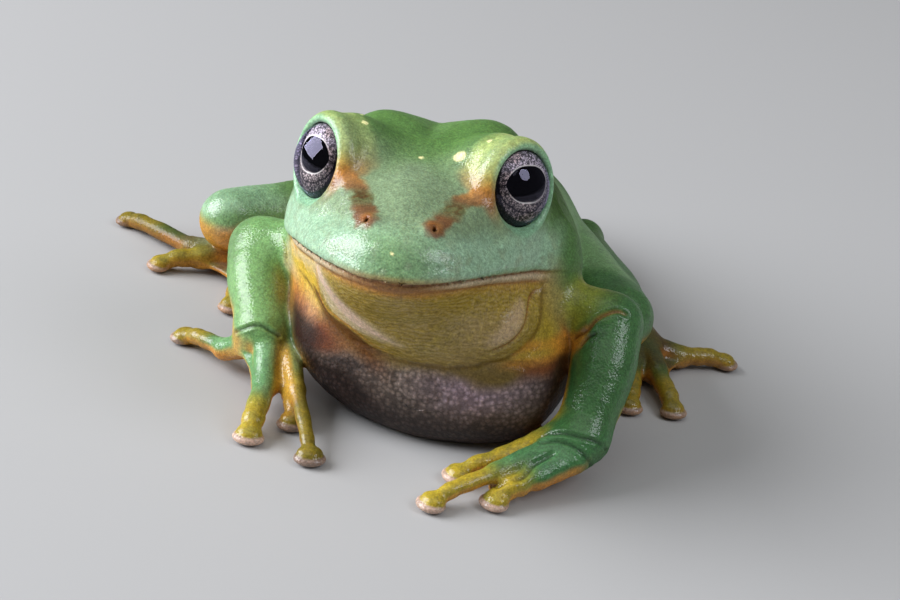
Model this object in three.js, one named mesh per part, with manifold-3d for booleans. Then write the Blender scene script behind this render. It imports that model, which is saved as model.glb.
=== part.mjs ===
// A life-size tree frog that sits on a flat surface with its head raised, as a still museum model.
// Millimetres, +Z up. The frog faces -Y and its left side is +X. The origin is on the flat of the belly.
// Each named mesh is one part of the animal. Neighbours are parted by thin cuts of GAP.
import * as THREE from "three";
import { mergeVertices } from "three/addons/utils/BufferGeometryUtils.js";
import Module from "manifold-3d";

const wasm = await Module();
wasm.setup();

// ---------------------------------------------------------------- driving dimensions
const GAP = 0.3; // width of the cut between two parts

// Facets: sides of each ring, and rings from one station to the next
const BODY_SIDES = 16;
const HEAD_STEPS = 1;
const TRUNK_STEPS = 1;
const EYE_SIDES = 14;
const LID_SIDES = 12;
const LIMB_SIDES = 10;
const LIMB_STEPS = 2;
const WRIST_SIDES = 8;
const ROOT_SIDES = 6;
const DIGIT_SIDES = 6;
const PAD_SIDES = 8;
const CAP_SLOPE = Math.SQRT1_2; // a rounded end's middle ring, at 45 degrees

// Head. Its own frame has +X to the frog's left, -Y to the snout and +Z up, with its origin between the eyes.
const HEAD_PLACE = [0, -12, 26.8];
const HEAD_PITCH = 14.2; // degrees, snout up
const HEAD_YAW = 6.1; // degrees, snout to the frog's left
const HEAD_ROLL = -2.3; // degrees, left eye up
const MOUTH_Z = -8.8; // height of the mouth line
const MOUTH_CORNER_Y = 7.8;
const CHEEK_Z = -6.5; // height where the head is widest
// [y, half width, top z, bottom z], from snout to neck
const HEAD_STATIONS = [
  [-14.6, 0, -7.4, -7.4],
  [-14.3, 2.4, -5.6, -9.6],
  [-13.2, 4.6, -4.2, -11.0],
  [-11, 6.9, -3.1, -12.6],
  [-8, 8.7, -1.7, -14.2],
  [-4, 10.6, 0.4, -15.4],
  [0, 12.2, 2.2, -16.2],
  [4, 13.4, 3.8, -16.6],
  [8.5, 14.2, 4.6, -16.6],
  [13, 13.8, 4.4, -16.0],
  [17, 11, 2.4, -14.5],
  [20, 0, -6, -6],
];
const EYE_RADIUS = 4.5;
const EYE_PLACE = [8.5, 1.2, 0]; // the left eyeball's centre in the head's frame
const LID_RADIUS = 5.3; // the bulge of skin that holds the eyeball
const LID_PLACE = [7.5, 2.2, -0.2];

// Trunk: [y, centre x, half width, top z, bottom z, height of the widest line]
const TRUNK_STATIONS = [
  [-18.6, 3.6, 0, 7.4, 7.4, 7.4],
  [-17.7, 3.6, 6.8, 12.2, 2.2, 6.9],
  [-15.6, 3.6, 11.8, 15.3, 0, 6.8],
  [-11, 3, 14.8, 18.5, -0.8, 7.2],
  [-5, 2, 15.4, 24, -0.9, 8],
  [3, 0.8, 14.8, 26, -0.9, 8.5],
  [12, -0.4, 14.6, 23.4, -0.9, 8.5],
  [21, -1.4, 13.4, 19.6, -0.8, 8],
  [29, -2, 11.6, 16, -0.3, 7.5],
  [35.5, -2.2, 9, 12.8, 0.8, 7],
  [40, -2.4, 5.6, 10, 2.4, 6.5],
  [42.4, -2.4, 0, 6.2, 6.2, 6.2],
];

// Limbs. side is +1 for the frog's left. Joints are [x, y, z].
// Each digit has its tip [x, y] on the ground, its root on the palm or on the ball of the foot, its share of the
// usual width, and a knuckle where that isn't on the straight line to the tip.
const ARMS = {
  left: {
    side: 1,
    shoulder: [9.5, -5, 13.5],
    elbow: [20.8, -7.4, 13.3],
    wrist: [20.9, -16.2, 4.5],
    digits: [
      { tip: [16.4, -11], root: [18.4, -16.2, 3.1], share: 0.8 },
      { tip: [10.2, -23], root: [17.4, -17.2, 3.3], share: 0.74 },
      { tip: [9.4, -29.6], root: [18.7, -18.9, 3.8], share: 0.78 },
      { tip: [15, -26.4], root: [20.9, -19.1, 3.4], share: 0.95 },
    ],
  },
  right: {
    side: -1,
    shoulder: [-8.5, -4, 13],
    elbow: [-18.7, -1.5, 10.1],
    wrist: [-14.7, -11, 5.4],
    digits: [
      { tip: [-7.8, -20.6], root: [-12.2, -11.8, 4], share: 0.7 },
      { tip: [-4, -26.6], root: [-12.3, -10.6, 4.9], share: 0.66 },
      { tip: [-10.9, -25.4], root: [-13.5, -12.8, 4.8], share: 1.02, knuckle: [-12, -17.4, 2.6] },
      { tip: [-24.4, -7.6], root: [-15.2, -12.4, 4.2], share: 0.86, knuckle: [-18.6, -11.2, 2.2] },
    ],
  },
};
const LEGS = {
  left: {
    side: 1,
    hip: [4, 30.5, 6.8],
    knee: [20.2, 5, 8.6],
    heel: [10.5, 34, 4],
    ball: [21.6, 14, 2.2],
    digits: [
      { tip: [14.4, 5.2], root: [18.2, 16, 2.1], share: 0.9 },
      { tip: [18.6, 1.4], root: [19.6, 14.4, 2.1], share: 0.9 },
      { tip: [23.4, 0.4], root: [21.2, 13, 2.1], share: 1 },
      { tip: [28, 1.8], root: [22.6, 12.4, 2.1], share: 1 },
      { tip: [31.4, 16.6], root: [23, 13.2, 1.9], share: 1, knuckle: [26.2, 13.9, 1.4] },
    ],
  },
  right: {
    side: -1,
    hip: [-8, 33.5, 5.3],
    knee: [-26.4, 11.5, 6.6],
    heel: [-13.5, 38, 4],
    ball: [-24.8, 13.6, 2.3],
    digits: [
      { tip: [-14.6, 8.2], root: [-21.6, 17, 2.1], share: 0.9 },
      { tip: [-18.6, 3.4], root: [-23, 15, 2.1], share: 0.9 },
      { tip: [-22.4, 1.8], root: [-24.2, 12.6, 2.2], share: 0.95 },
      { tip: [-33.4, 8], root: [-26.2, 12, 2.1], share: 1 },
      { tip: [-41, 17.8], root: [-26.6, 12, 1.9], share: 1, knuckle: [-31, 12.6, 1.5] },
    ],
  },
};
// Each length of a limb: its radii at the start, middle and end, and how far its middle bows [outwards, y, z]
const UPPER_ARM = { radii: [3.4, 3.1, 3.1], bow: [0, 0, 0.3] };
const FOREARM = { radii: [3.1, 3.3, 2.7], bow: [0.5, 0.2, 0.3] };
const THIGH = { radii: [4.4, 4.7, 3.4], bow: [0, 0, -0.7] };
const SHANK = { radii: [3.2, 3.3, 2.2], bow: [0.4, 0, -0.8] };
const TARSUS = { radii: [2.3, 1.8, 2], bow: [-2.2, 0, -0.6] };
// Hands and feet: how far the knuckles are towards the tips, how far the webs are, and the digits and pads
const HAND = { reach: 0.46, webShare: 0.5, digit: [1.3, 1.15, 1.05], pad: { long: 2.7, wide: 3.3 } };
const FOOT = { reach: 0.4, webShare: 0.6, digit: [1.25, 1.05, 1], pad: { long: 2.6, wide: 3.0 } };
const PALM_RADIUS = 1.5; // half the thickness of the palm
const KNUCKLE = { radius: 1.3, z: 1 };
const JOINT_RISE = 0.75; // height of a digit's middle joint over the straight line to its pad
const END_RISE = 0.3; // the same at the digit's end, which runs onto the pad
const PAD_THICK = 1.7;
const PAD_LIFT = 0.62; // height of a pad's middle, so that its sole is a small flat
const WEB_THICK = 0.6;
const WEB_Z = 0.5; // underside of the webs

const COLOURS = {
  back: 0x5c9a3c,
  throat: 0xb09a58,
  belly: 0x8f8078,
  limb: 0x4f9a45,
  digit: 0xc9a638,
  iris: 0x6f6672,
};
const SKIN_ROUGHNESS = 0.35;
const EYE_ROUGHNESS = 0.1;

// ---------------------------------------------------------------- geometry helpers
const vec = (p) => new THREE.Vector3(...p);

/** The point at share of the way from a to b, moved by shift. */
function between(a, b, share = 0.5, shift = [0, 0, 0]) {
  return a.map((value, i) => THREE.MathUtils.lerp(value, b[i], share) + shift[i]);
}

/** A three.js geometry as a manifold-3d solid. */
function solidOf(geometry) {
  const bare = new THREE.BufferGeometry();
  bare.setAttribute("position", geometry.getAttribute("position").clone());
  bare.setIndex(geometry.index ? geometry.index.clone() : null);
  const merged = mergeVertices(bare, 1e-4);
  return new wasm.Manifold(
    new wasm.Mesh({
      numProp: 3,
      vertProperties: new Float32Array(merged.getAttribute("position").array),
      triVerts: new Uint32Array(merged.index.array),
    }),
  );
}

/** A manifold-3d solid as a three.js geometry. */
function geometryOf(solid) {
  const mesh = solid.getMesh();
  const geometry = new THREE.BufferGeometry();
  geometry.setAttribute("position", new THREE.BufferAttribute(mesh.vertProperties, 3));
  geometry.setIndex(new THREE.BufferAttribute(mesh.triVerts, 1));
  geometry.computeVertexNormals();
  return geometry;
}

/** Rings of points, closed by a point at each end. Each ring runs anticlockwise seen from the last end. */
function closedRings(first, rings, last) {
  const sides = rings[0].length;
  const points = [first, ...rings.flat(), last];
  const faces = [];
  const at = (ring, i) => 1 + ring * sides + (i % sides);
  for (let i = 0; i < sides; i++) {
    faces.push(0, at(0, i + 1), at(0, i));
    for (let ring = 0; ring + 1 < rings.length; ring++) {
      faces.push(at(ring, i), at(ring, i + 1), at(ring + 1, i + 1));
      faces.push(at(ring, i), at(ring + 1, i + 1), at(ring + 1, i));
    }
    faces.push(at(rings.length - 1, i), at(rings.length - 1, i + 1), points.length - 1);
  }
  return solidOf(new THREE.BufferGeometry().setFromPoints(points).setIndex(faces));
}

/** A smooth curve through one column of a table of stations, as a function of the station's index. */
function column(rows, number) {
  const curve = new THREE.SplineCurve(rows.map((row, i) => new THREE.Vector2(i, row[number])));
  return (index) => curve.getPoint(index / (rows.length - 1)).y;
}

/** A body along Y through stations of [y, centre x, half width, top z, bottom z, widest z]. */
function bodyAlongY(stations, steps, grow) {
  const [y, x, half, top, bottom, widest] = [0, 1, 2, 3, 4, 5].map((number) => column(stations, number));
  const last = stations.length - 1;
  const rings = [];
  for (let k = 1; k < last * steps; k++) {
    const i = k / steps;
    const ring = Array.from({ length: BODY_SIDES }, (_, side) => {
      const angle = (-2 * Math.PI * side) / BODY_SIDES;
      const up = Math.sin(angle);
      const height = up > 0 ? top(i) - widest(i) : widest(i) - bottom(i);
      return new THREE.Vector3(
        x(i) + Math.cos(angle) * (half(i) + grow),
        y(i),
        widest(i) + up * (height + grow),
      );
    });
    rings.push(ring);
  }
  const end = (i, outward) => new THREE.Vector3(x(i), y(i) + outward * grow, (top(i) + bottom(i)) / 2);
  return closedRings(end(0, -1), rings, end(last, 1));
}

/** A limb through points, with a radius at each and rounded ends. */
function limb(points, radii, grow, { sides = LIMB_SIDES, steps = LIMB_STEPS } = {}) {
  const curve = new THREE.CatmullRomCurve3(points.map(vec));
  const radiusCurve = new THREE.SplineCurve(radii.map((r, i) => new THREE.Vector2(i, r)));
  const spans = points.length - 1;

  // The ring at t along the limb, moved on by ahead along it and scaled by share.
  const ringAt = (t, ahead, share) => {
    const tangent = curve.getTangent(t);
    const across = new THREE.Vector3(0, 0, 1).cross(tangent).normalize();
    const upward = tangent.clone().cross(across);
    const radius = (radiusCurve.getPoint(t).y + grow) * share;
    const centre = curve.getPoint(t).addScaledVector(tangent, ahead);
    return Array.from({ length: sides }, (_, side) => {
      const angle = (2 * Math.PI * side) / sides;
      return centre
        .clone()
        .addScaledVector(across, Math.cos(angle) * radius)
        .addScaledVector(upward, Math.sin(angle) * radius);
    });
  };
  const reach = (t) => radiusCurve.getPoint(t).y + grow;
  const rings = [ringAt(0, -reach(0) * CAP_SLOPE, CAP_SLOPE)];
  for (let k = 0; k <= spans * steps; k++) rings.push(ringAt(k / (spans * steps), 0, 1));
  rings.push(ringAt(1, reach(1) * CAP_SLOPE, CAP_SLOPE));
  const tip = (t, sign) => curve.getPoint(t).addScaledVector(curve.getTangent(t), sign * reach(t));
  return closedRings(tip(0, -1), rings, tip(1, 1));
}

/** One length of a limb, from joint to joint. */
function limbLength(from, to, side, { radii, bow }, grow) {
  const middle = between(from, to, 0.5, [bow[0] * side, bow[1], bow[2]]);
  return limb([from, middle, to], radii, grow);
}

/** A ball, grown by grow. */
function ball(centre, radius, grow, sides) {
  const geometry = new THREE.SphereGeometry(radius + grow, sides, Math.round(sides * 0.6));
  return solidOf(geometry.rotateX(Math.PI / 2).translate(...centre));
}

/** A block from its low corner to its high one. */
function block(low, high) {
  const size = vec(high).sub(vec(low));
  const middle = between(low, high);
  return solidOf(new THREE.BoxGeometry(...size.toArray()).translate(...middle));
}

/** The largest body of a solid that cuts have left in pieces. */
function largest(solid) {
  return solid.decompose().reduce((a, b) => (b.volume() > a.volume() ? b : a));
}

// ---------------------------------------------------------------- head and trunk
const mirrored = ([x, y, z], side) => [x * side, y, z];

/** Puts a solid made in the head's frame where the head is. */
function inHeadPlace(solid) {
  const turn = [-HEAD_PITCH, HEAD_ROLL, HEAD_YAW].map(THREE.MathUtils.degToRad);
  const matrix = new THREE.Matrix4().makeRotationFromEuler(new THREE.Euler(...turn, "ZXY"));
  return solid.transform(matrix.setPosition(...HEAD_PLACE).elements);
}

/** Both jaws in one, with a bulge of skin for each eye. */
function wholeHead(grow) {
  const stations = HEAD_STATIONS.map(([y, half, top, bottom]) => [y, 0, half, top, bottom, CHEEK_Z]);
  return [1, -1].reduce(
    (shape, side) => shape.add(ball(mirrored(LID_PLACE, side), LID_RADIUS, grow, LID_SIDES)),
    bodyAlongY(stations, HEAD_STEPS, grow),
  );
}

/** The space of the lower jaw: what lies under the mouth line, as far back as the corners of the mouth. */
function jawSpace(grow) {
  return block([-40, -40, -60], [40, MOUTH_CORNER_Y + grow, MOUTH_Z + grow]);
}

// ---------------------------------------------------------------- hands and feet
/** Where a digit's knuckle is. */
function knuckleOf({ tip, root, knuckle }, { reach }) {
  return knuckle ?? between(root, [...tip, KNUCKLE.z], reach);
}

/** A digit from its knuckle, over a raised joint, to a round pad on the ground. */
function digit(line, form, grow) {
  const knuckle = knuckleOf(line, form);
  const ground = [...line.tip, PAD_LIFT];
  const run = [ground[0] - knuckle[0], ground[1] - knuckle[1]];
  const joint = between(knuckle, ground, 0.5, [0, 0, JOINT_RISE]);
  const end = between(knuckle, ground, 1 - (form.pad.long * 0.45) / Math.hypot(...run), [0, 0, END_RISE]);
  const radii = form.digit.map((radius) => radius * line.share);
  const disc = new THREE.SphereGeometry(1, PAD_SIDES, PAD_SIDES / 2)
    .rotateX(Math.PI / 2)
    .scale(form.pad.long / 2 + grow, form.pad.wide / 2 + grow, PAD_THICK / 2 + grow)
    .rotateZ(Math.atan2(run[1], run[0]))
    .translate(...ground);
  return limb([knuckle, joint, end], radii, grow, { sides: DIGIT_SIDES, steps: 1 }).add(solidOf(disc));
}

/** Thin skin that joins the roots of two neighbouring digits. */
function web(pair, share, grow) {
  const roots = pair.map(({ root }) => new THREE.Vector2(root[0], root[1]));
  const [a, b] = pair.map(({ tip }, i) => roots[i].clone().lerp(new THREE.Vector2(...tip), share));
  const rootMiddle = roots[0].clone().lerp(roots[1], 0.5);
  const edge = a.clone().add(b).multiplyScalar(0.5).lerp(rootMiddle, 0.4);
  const outline = new THREE.Shape().moveTo(roots[0].x, roots[0].y).lineTo(a.x, a.y);
  outline.quadraticCurveTo(edge.x, edge.y, b.x, b.y).lineTo(roots[1].x, roots[1].y);
  outline.closePath();
  const depth = WEB_THICK + 2 * grow;
  const sheet = new THREE.ExtrudeGeometry(outline, { depth, bevelEnabled: false, curveSegments: 2 });
  return solidOf(sheet.translate(0, 0, WEB_Z - grow));
}

/** The palm, or the ball of a foot: skin over the wrist and the roots, a lobe to each knuckle, and the webs. */
function palm(wrist, wristRadius, digits, form, grow) {
  const roots = digits.map(({ root }) => ball(root, PALM_RADIUS, grow, ROOT_SIDES));
  const core = wasm.Manifold.hull([ball(wrist, wristRadius * 0.9, grow, WRIST_SIDES), ...roots]);
  const lobes = digits.map((line) => {
    const inner = PALM_RADIUS * THREE.MathUtils.lerp(0.35, 1, line.share);
    const radii = [inner, KNUCKLE.radius * line.share];
    return limb([line.root, knuckleOf(line, form)], radii, grow, { sides: DIGIT_SIDES, steps: 1 });
  });
  const webs = digits.slice(1).map((line, i) => web([digits[i], line], form.webShare, grow));
  return [...lobes, ...webs].reduce((shape, piece) => shape.add(piece), core);
}

// ---------------------------------------------------------------- the whole animal
/**
 * Every part of the animal, in the order in which the parts keep their shape.
 * near names the earlier parts that cut into it, and shape(grow) is its solid with its skin grown by grow.
 */
function frogParts() {
  const parts = [];
  const add = (name, colour, near, shape) => parts.push({ name, colour, near, shape });
  const eyes = ["eye_left", "eye_right"];
  const body = ["trunk", "head", "lower_jaw"];

  eyes.forEach((name, i) => {
    const centre = mirrored(EYE_PLACE, i === 0 ? 1 : -1);
    add(name, "iris", [], (grow) => inHeadPlace(ball(centre, EYE_RADIUS, grow, EYE_SIDES)));
  });
  add("head", "back", eyes, (grow) => inHeadPlace(wholeHead(grow).subtract(jawSpace(-grow))));
  add("lower_jaw", "throat", [...eyes, "head"], (grow) =>
    inHeadPlace(wholeHead(grow).intersect(jawSpace(grow - GAP))),
  );
  add("trunk", "belly", ["head", "lower_jaw"], (grow) => bodyAlongY(TRUNK_STATIONS, TRUNK_STEPS, grow));

  for (const [which, { side, shoulder, elbow, wrist, digits }] of Object.entries(ARMS)) {
    const named = (part) => `${part}_${which}`;
    add(named("upper_arm"), "limb", body, (grow) => limbLength(shoulder, elbow, side, UPPER_ARM, grow));
    add(named("forearm"), "limb", [...body, named("upper_arm")], (grow) =>
      limbLength(elbow, wrist, side, FOREARM, grow),
    );
    add(named("hand"), "limb", [...body, named("forearm")], (grow) =>
      palm(wrist, FOREARM.radii[2], digits, HAND, grow),
    );
    const near = [...body, named("forearm"), named("hand")];
    digits.forEach((line, i) => {
      add(named(`finger_${i + 1}`), "digit", [...near], (grow) => digit(line, HAND, grow));
      near.push(named(`finger_${i + 1}`));
    });
  }

  for (const [which, { side, hip, knee, heel, ball: middle, digits }] of Object.entries(LEGS)) {
    const named = (part) => `${part}_${which}`;
    const near = parts.map((part) => part.name).filter((name) => name.endsWith(which) || name === "trunk");
    add(named("thigh"), "limb", [...near, ...(which === "right" ? ["thigh_left"] : [])], (grow) =>
      limbLength(hip, knee, side, THIGH, grow),
    );
    near.push(named("thigh"));
    add(named("shank"), "limb", [...near], (grow) => limbLength(knee, heel, side, SHANK, grow));
    near.push(named("shank"));
    add(named("foot"), "limb", [...near], (grow) =>
      limbLength(heel, middle, side, TARSUS, grow).add(
        palm(between(heel, middle, 0.8), TARSUS.radii[2], digits, FOOT, grow),
      ),
    );
    near.push(named("foot"));
    digits.forEach((line, i) => {
      add(named(`toe_${i + 1}`), "digit", [...near], (grow) => digit(line, FOOT, grow));
      near.push(named(`toe_${i + 1}`));
    });
  }
  return parts;
}

/** Cuts each part free of its earlier neighbours and of the ground, and returns the group of meshes. */
function frog() {
  const ground = block([-90, -90, -30], [90, 90, 0]);
  const parts = frogParts();
  const grown = new Map(parts.map(({ name, shape }) => [name, shape(GAP)]));
  const materials = {};
  for (const [name, color] of Object.entries(COLOURS)) {
    const roughness = name === "iris" ? EYE_ROUGHNESS : SKIN_ROUGHNESS;
    materials[name] = new THREE.MeshStandardMaterial({ color, roughness, metalness: 0 });
  }
  const group = new THREE.Group();
  for (const { name, colour, near, shape } of parts) {
    const free = near.reduce((rest, neighbour) => rest.subtract(grown.get(neighbour)), shape(0));
    const mesh = new THREE.Mesh(geometryOf(largest(free.subtract(ground))), materials[colour]);
    mesh.name = name;
    group.add(mesh);
  }
  return group;
}

export default frog();
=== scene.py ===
"""A life-size tree frog, sitting on a pale floor with its head raised.

The frog is one skin over the whole body, with an eyeball and a clear cornea on each side of the head.
The skin is the zero level of a distance field, which blended body, limb and digit shapes add up to.
Lengths are millimetres until a mesh is made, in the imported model's frame: -Y is in front of the frog,
+Z is up and +X is the frog's left.
"""

import math

import bpy
import numpy as np
from mathutils import Matrix, Vector


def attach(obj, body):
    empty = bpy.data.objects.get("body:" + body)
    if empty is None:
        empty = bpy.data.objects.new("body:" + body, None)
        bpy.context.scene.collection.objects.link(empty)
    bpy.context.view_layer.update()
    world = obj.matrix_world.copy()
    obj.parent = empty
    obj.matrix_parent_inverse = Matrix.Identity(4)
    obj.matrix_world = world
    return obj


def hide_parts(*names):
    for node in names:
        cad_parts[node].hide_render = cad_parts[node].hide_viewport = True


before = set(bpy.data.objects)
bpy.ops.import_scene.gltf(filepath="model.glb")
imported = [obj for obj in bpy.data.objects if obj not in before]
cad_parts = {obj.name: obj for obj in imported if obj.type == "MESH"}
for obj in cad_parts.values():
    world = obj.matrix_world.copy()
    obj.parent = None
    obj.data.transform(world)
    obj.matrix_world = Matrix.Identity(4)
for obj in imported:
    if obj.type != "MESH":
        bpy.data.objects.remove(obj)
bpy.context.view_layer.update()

MM = 0.001
FAR = 9.0  # stands for the distance of anything that is too far off to matter

# ---------------------------------------------------------------- sizes
# The head's own frame has +X to the frog's left, -Y to the snout and +Z up, between the eyes.
HEAD_PLACE = np.array([0.0, -12.0, 26.8])
HEAD_PITCH, HEAD_YAW, HEAD_ROLL = 14.2, 6.1, -2.3
# y, half width, top, bottom, height of the widest line
HEAD_TABLE = [
    [-14.6, 0.0, -7.4, -7.4, -7.4],
    [-14.3, 2.4, -5.6, -9.4, -7.4],
    [-13.2, 4.6, -4.2, -10.8, -7.2],
    [-11.0, 6.9, -3.1, -12.4, -7.0],
    [-8.0, 8.7, -1.7, -14.0, -6.8],
    [-4.0, 10.6, 0.4, -15.2, -6.6],
    [0.0, 12.2, 2.2, -16.0, -6.5],
    [4.0, 13.4, 3.5, -16.4, -6.5],
    [8.5, 14.2, 4.0, -16.4, -6.5],
    [13.0, 13.8, 3.7, -16.0, -6.5],
    [17.0, 11.0, 1.9, -14.5, -6.4],
    [21.0, 8.8, -0.9, -13.0, -6.6],
    [25.5, 5.6, -3.8, -11.0, -7.0],
    [28.5, 0.0, -7.5, -7.5, -7.5],
]
EYE_PLACE = np.array([8.5, 1.2, 0.0])
EYE_RADIUS = 4.5
EYE_AZIMUTH, EYE_ELEVATION = 50.4, 4.4
IRIS_RADIUS, RIM_DEPTH = 3.8, 2.41
LID_PLACE, LID_RADIUS = np.array([7.5, 2.2, -0.2]), 5.3
MOUTH_CORNER_Y = 7.8
# y and z of the mouth line
MOUTH_LINE = [
    [-14.6, -8.75], [-13.2, -8.4], [-10.8, -8.05], [-7.0, -7.9],
    [-3.4, -8.0], [-0.2, -8.15], [4.1, -8.4], [7.8, -8.5], [12.0, -9.6],
]
LIP_BAND = 0.85

# y, centre x, half width, top, bottom, height of the widest line
TRUNK_TABLE = [
    [-18.6, 3.6, 0.0, 7.4, 7.4, 7.4],
    [-17.7, 3.6, 6.8, 12.2, 2.2, 6.9],
    [-15.6, 3.6, 11.8, 15.3, 0.0, 6.8],
    [-11.0, 3.0, 14.8, 18.5, -0.8, 7.2],
    [-5.0, 2.0, 15.4, 24.0, -0.9, 8.0],
    [3.0, 0.8, 14.8, 26.0, -0.9, 8.5],
    [12.0, -0.4, 14.6, 23.4, -0.9, 8.5],
    [21.0, -1.4, 13.4, 19.6, -0.8, 8.0],
    [29.0, -2.0, 11.6, 16.0, -0.3, 7.5],
    [35.5, -2.2, 9.0, 12.8, 0.8, 7.0],
    [40.0, -2.4, 5.6, 10.0, 2.4, 6.5],
    [42.4, -2.4, 0.0, 6.2, 6.2, 6.2],
]

# Each digit: its tip's x and y, where it leaves the palm or the ball, its share of the usual radius, and
# its knuckle, where that isn't worked out. yellow_from is how far back from its tip each digit is yellow.
ARMS = {
    "left": {
        "side": 1, "shoulder": [9.5, -5, 13.5], "elbow": [20.8, -7.4, 13.3], "wrist": [20.9, -16.2, 4.5],
        "digits": [
            ([16.4, -11.0], [18.4, -16.2, 3.1], 0.80, None),
            ([10.2, -23.0], [17.4, -17.2, 3.3], 0.74, None),
            ([9.4, -29.6], [18.7, -18.9, 3.8], 0.78, None),
            ([15.0, -26.4], [20.9, -19.1, 3.4], 0.95, None),
        ],
        "yellow_from": [12.0, 9.5, 7.2, 3.8],
    },
    "right": {
        "side": -1, "shoulder": [-8.5, -4, 13], "elbow": [-18.7, -1.5, 10.1], "wrist": [-14.7, -11.0, 5.4],
        "digits": [
            ([-7.8, -20.6], [-12.2, -11.8, 4.0], 0.70, None),
            ([-4.0, -26.6], [-12.3, -10.6, 4.9], 0.66, None),
            ([-10.9, -25.4], [-13.5, -12.8, 4.8], 1.02, [-12.0, -17.4, 2.6]),
            ([-24.4, -7.6], [-15.2, -12.4, 4.2], 0.86, [-18.6, -11.2, 2.2]),
        ],
        "yellow_from": [9.0, 11.5, 4.8, 4.8],
    },
}
LEGS = {
    "left": {
        "side": 1, "hip": [4, 30.5, 6.8], "knee": [20.2, 5, 8.6], "heel": [10.5, 34, 4],
        "ball": [21.6, 14.0, 2.2],
        "digits": [
            ([14.4, 5.2], [18.2, 16.0, 2.1], 0.9, None), ([18.6, 1.4], [19.6, 14.4, 2.1], 0.9, None),
            ([23.4, 0.4], [21.2, 13.0, 2.1], 1.0, None), ([28.0, 1.8], [22.6, 12.4, 2.1], 1.0, None),
            ([31.4, 16.6], [23.0, 13.2, 1.9], 1.0, [26.2, 13.9, 1.4]),
        ],
    },
    "right": {
        "side": -1, "hip": [-8, 33.5, 5.3], "knee": [-26.4, 11.5, 6.6], "heel": [-13.5, 38, 4],
        "ball": [-24.8, 13.6, 2.3],
        "digits": [
            ([-14.6, 8.2], [-21.6, 17.0, 2.1], 0.9, None), ([-18.6, 3.4], [-23.0, 15.0, 2.1], 0.9, None),
            ([-22.4, 1.8], [-24.2, 12.6, 2.2], 0.95, None), ([-33.4, 8.0], [-26.2, 12.0, 2.1], 1.0, None),
            ([-41.0, 17.8], [-26.6, 12.0, 1.9], 1.0, [-31.0, 12.6, 1.5]),
        ],
    },
}
FOOT_YELLOW_FROM = [6.0, 6.0, 6.0, 5.5, 6.5]
# Each length of a limb: its radii along it, and how far its middle bows outwards, along Y and up
UPPER_ARM = {"radii": [3.4, 3.2, 3.0, 3.1], "bow": [0, 0, 0.3]}
FOREARM = {"radii": [3.1, 3.4, 3.1, 2.7], "bow": [0.5, 0.2, 0.3]}
THIGH = {"radii": [4.4, 4.8, 4.4, 3.3], "bow": [0, 0, -0.7]}
SHANK = {"radii": [3.1, 3.6, 2.9, 2.0], "bow": [0.4, 0, -0.8]}
TARSUS = {"radii": [2.3, 1.8, 1.8, 2.0], "bow": [-2.2, 0, -0.6]}
# Hands and feet: how far along a digit its knuckle is and its web goes, and its radius and pad's size
HAND = {"reach": 0.46, "web": 0.50, "radius": 1.12, "pad": [2.8, 3.3, 1.24]}
FOOT = {"reach": 0.40, "web": 0.60, "radius": 1.04, "pad": [2.6, 3.0, 1.16]}
PALM_RADIUS, KNUCKLE_RADIUS, KNUCKLE_Z = 1.5, 1.3, 1.0
PAD_LIFT = 0.60
DOME_SHIFT, DOME_SHARE = np.array([-0.24, 0.0, 0.42]), np.array([0.84, 0.80, 1.15])
WEB_Z, WEB_HALF = 0.62, 0.27
FLOOR_GAP = 0.02
THROAT_PLACE, THROAT_HALF = np.array([3.0, -13.9, 14.3]), np.array([11.0, 7.5, 5.8])
NAPE_BLEND, CHEST_BLEND = 4.2, 1.3
ELBOW_BLEND, WRIST_BLEND, ANKLE_BLEND = 1.6, 1.2, 1.0
DIGIT_BLEND, WEB_BLEND, PAD_BLEND = 0.7, 0.6, 0.30
# How softly shapes join about a joint: everywhere, how much more at the joint, and how far round it
KNEE_BLEND, HEEL_BLEND = (0.35, 2.0, 5.0), (0.35, 1.6, 4.0)
SHOULDER_BLEND, HIP_BLEND = (0.4, 3.2, 7.5), (0.4, 4.0, 7.5)
# Swellings of the skin, or hollows below 0: height, middle and radii. The head's are in its own frame,
# on both sides of it, and one more is on its left only.
HEAD_HUMPS = [
    (1.85, [6.2, 9.6, 4.0], [4.4, 5.0, 5.0]), (-0.55, [7.4, -6.0, -4.6], [2.2, 3.4, 1.2]),
    (0.30, [8.6, -6.6, -6.9], [3.0, 4.5, 1.3]), (0.25, [12.8, 4.0, -6.4], [3.0, 5.0, 1.6]),
    (0.45, [0.0, -6.5, -0.8], [2.4, 4.5, 2.5]),
]
LEFT_CROWN_HUMP = [(0.65, [7.4, 9.6, 4.0], [3.6, 4.0, 4.0])]
TRUNK_HUMPS = [
    (0.8, [7.5, -13.5, 6.0], [6.0, 8.0, 5.0]), (0.9, [14.0, -11.0, 2.0], [4.0, 5.0, 3.0]),
    (2.2, [14.5, -5.0, 19.5], [5.0, 6.0, 5.0]),
]


# ---------------------------------------------------------------- numbers
def ramp(low, high, x):
    """0 at low and under it, 1 at high and over it, smooth between. low may be over high."""
    t = np.clip((x - low) / (high - low), 0.0, 1.0)
    return t * t * (3.0 - 2.0 * t)


def bell(x, width):
    return np.exp(-((x / width) ** 2))


def spline(table, at):
    """Smooth values at the given positions, from rows of [position, values...]."""
    rows = np.asarray(table, float)
    knots, values = rows[:, 0], rows[:, 1:]
    slopes = np.gradient(values, knots, axis=0)
    i = np.clip(np.searchsorted(knots, at, side="right") - 1, 0, len(knots) - 2)
    width = (knots[i + 1] - knots[i])[:, None]
    t = np.clip((at - knots[i])[:, None] / width, 0.0, 1.0)
    rise = values[i + 1] - values[i]
    a = slopes[i] * width - rise
    b = rise - slopes[i + 1] * width
    return values[i] + t * rise + t * (1 - t) * (a * (1 - t) + b * t)


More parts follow.
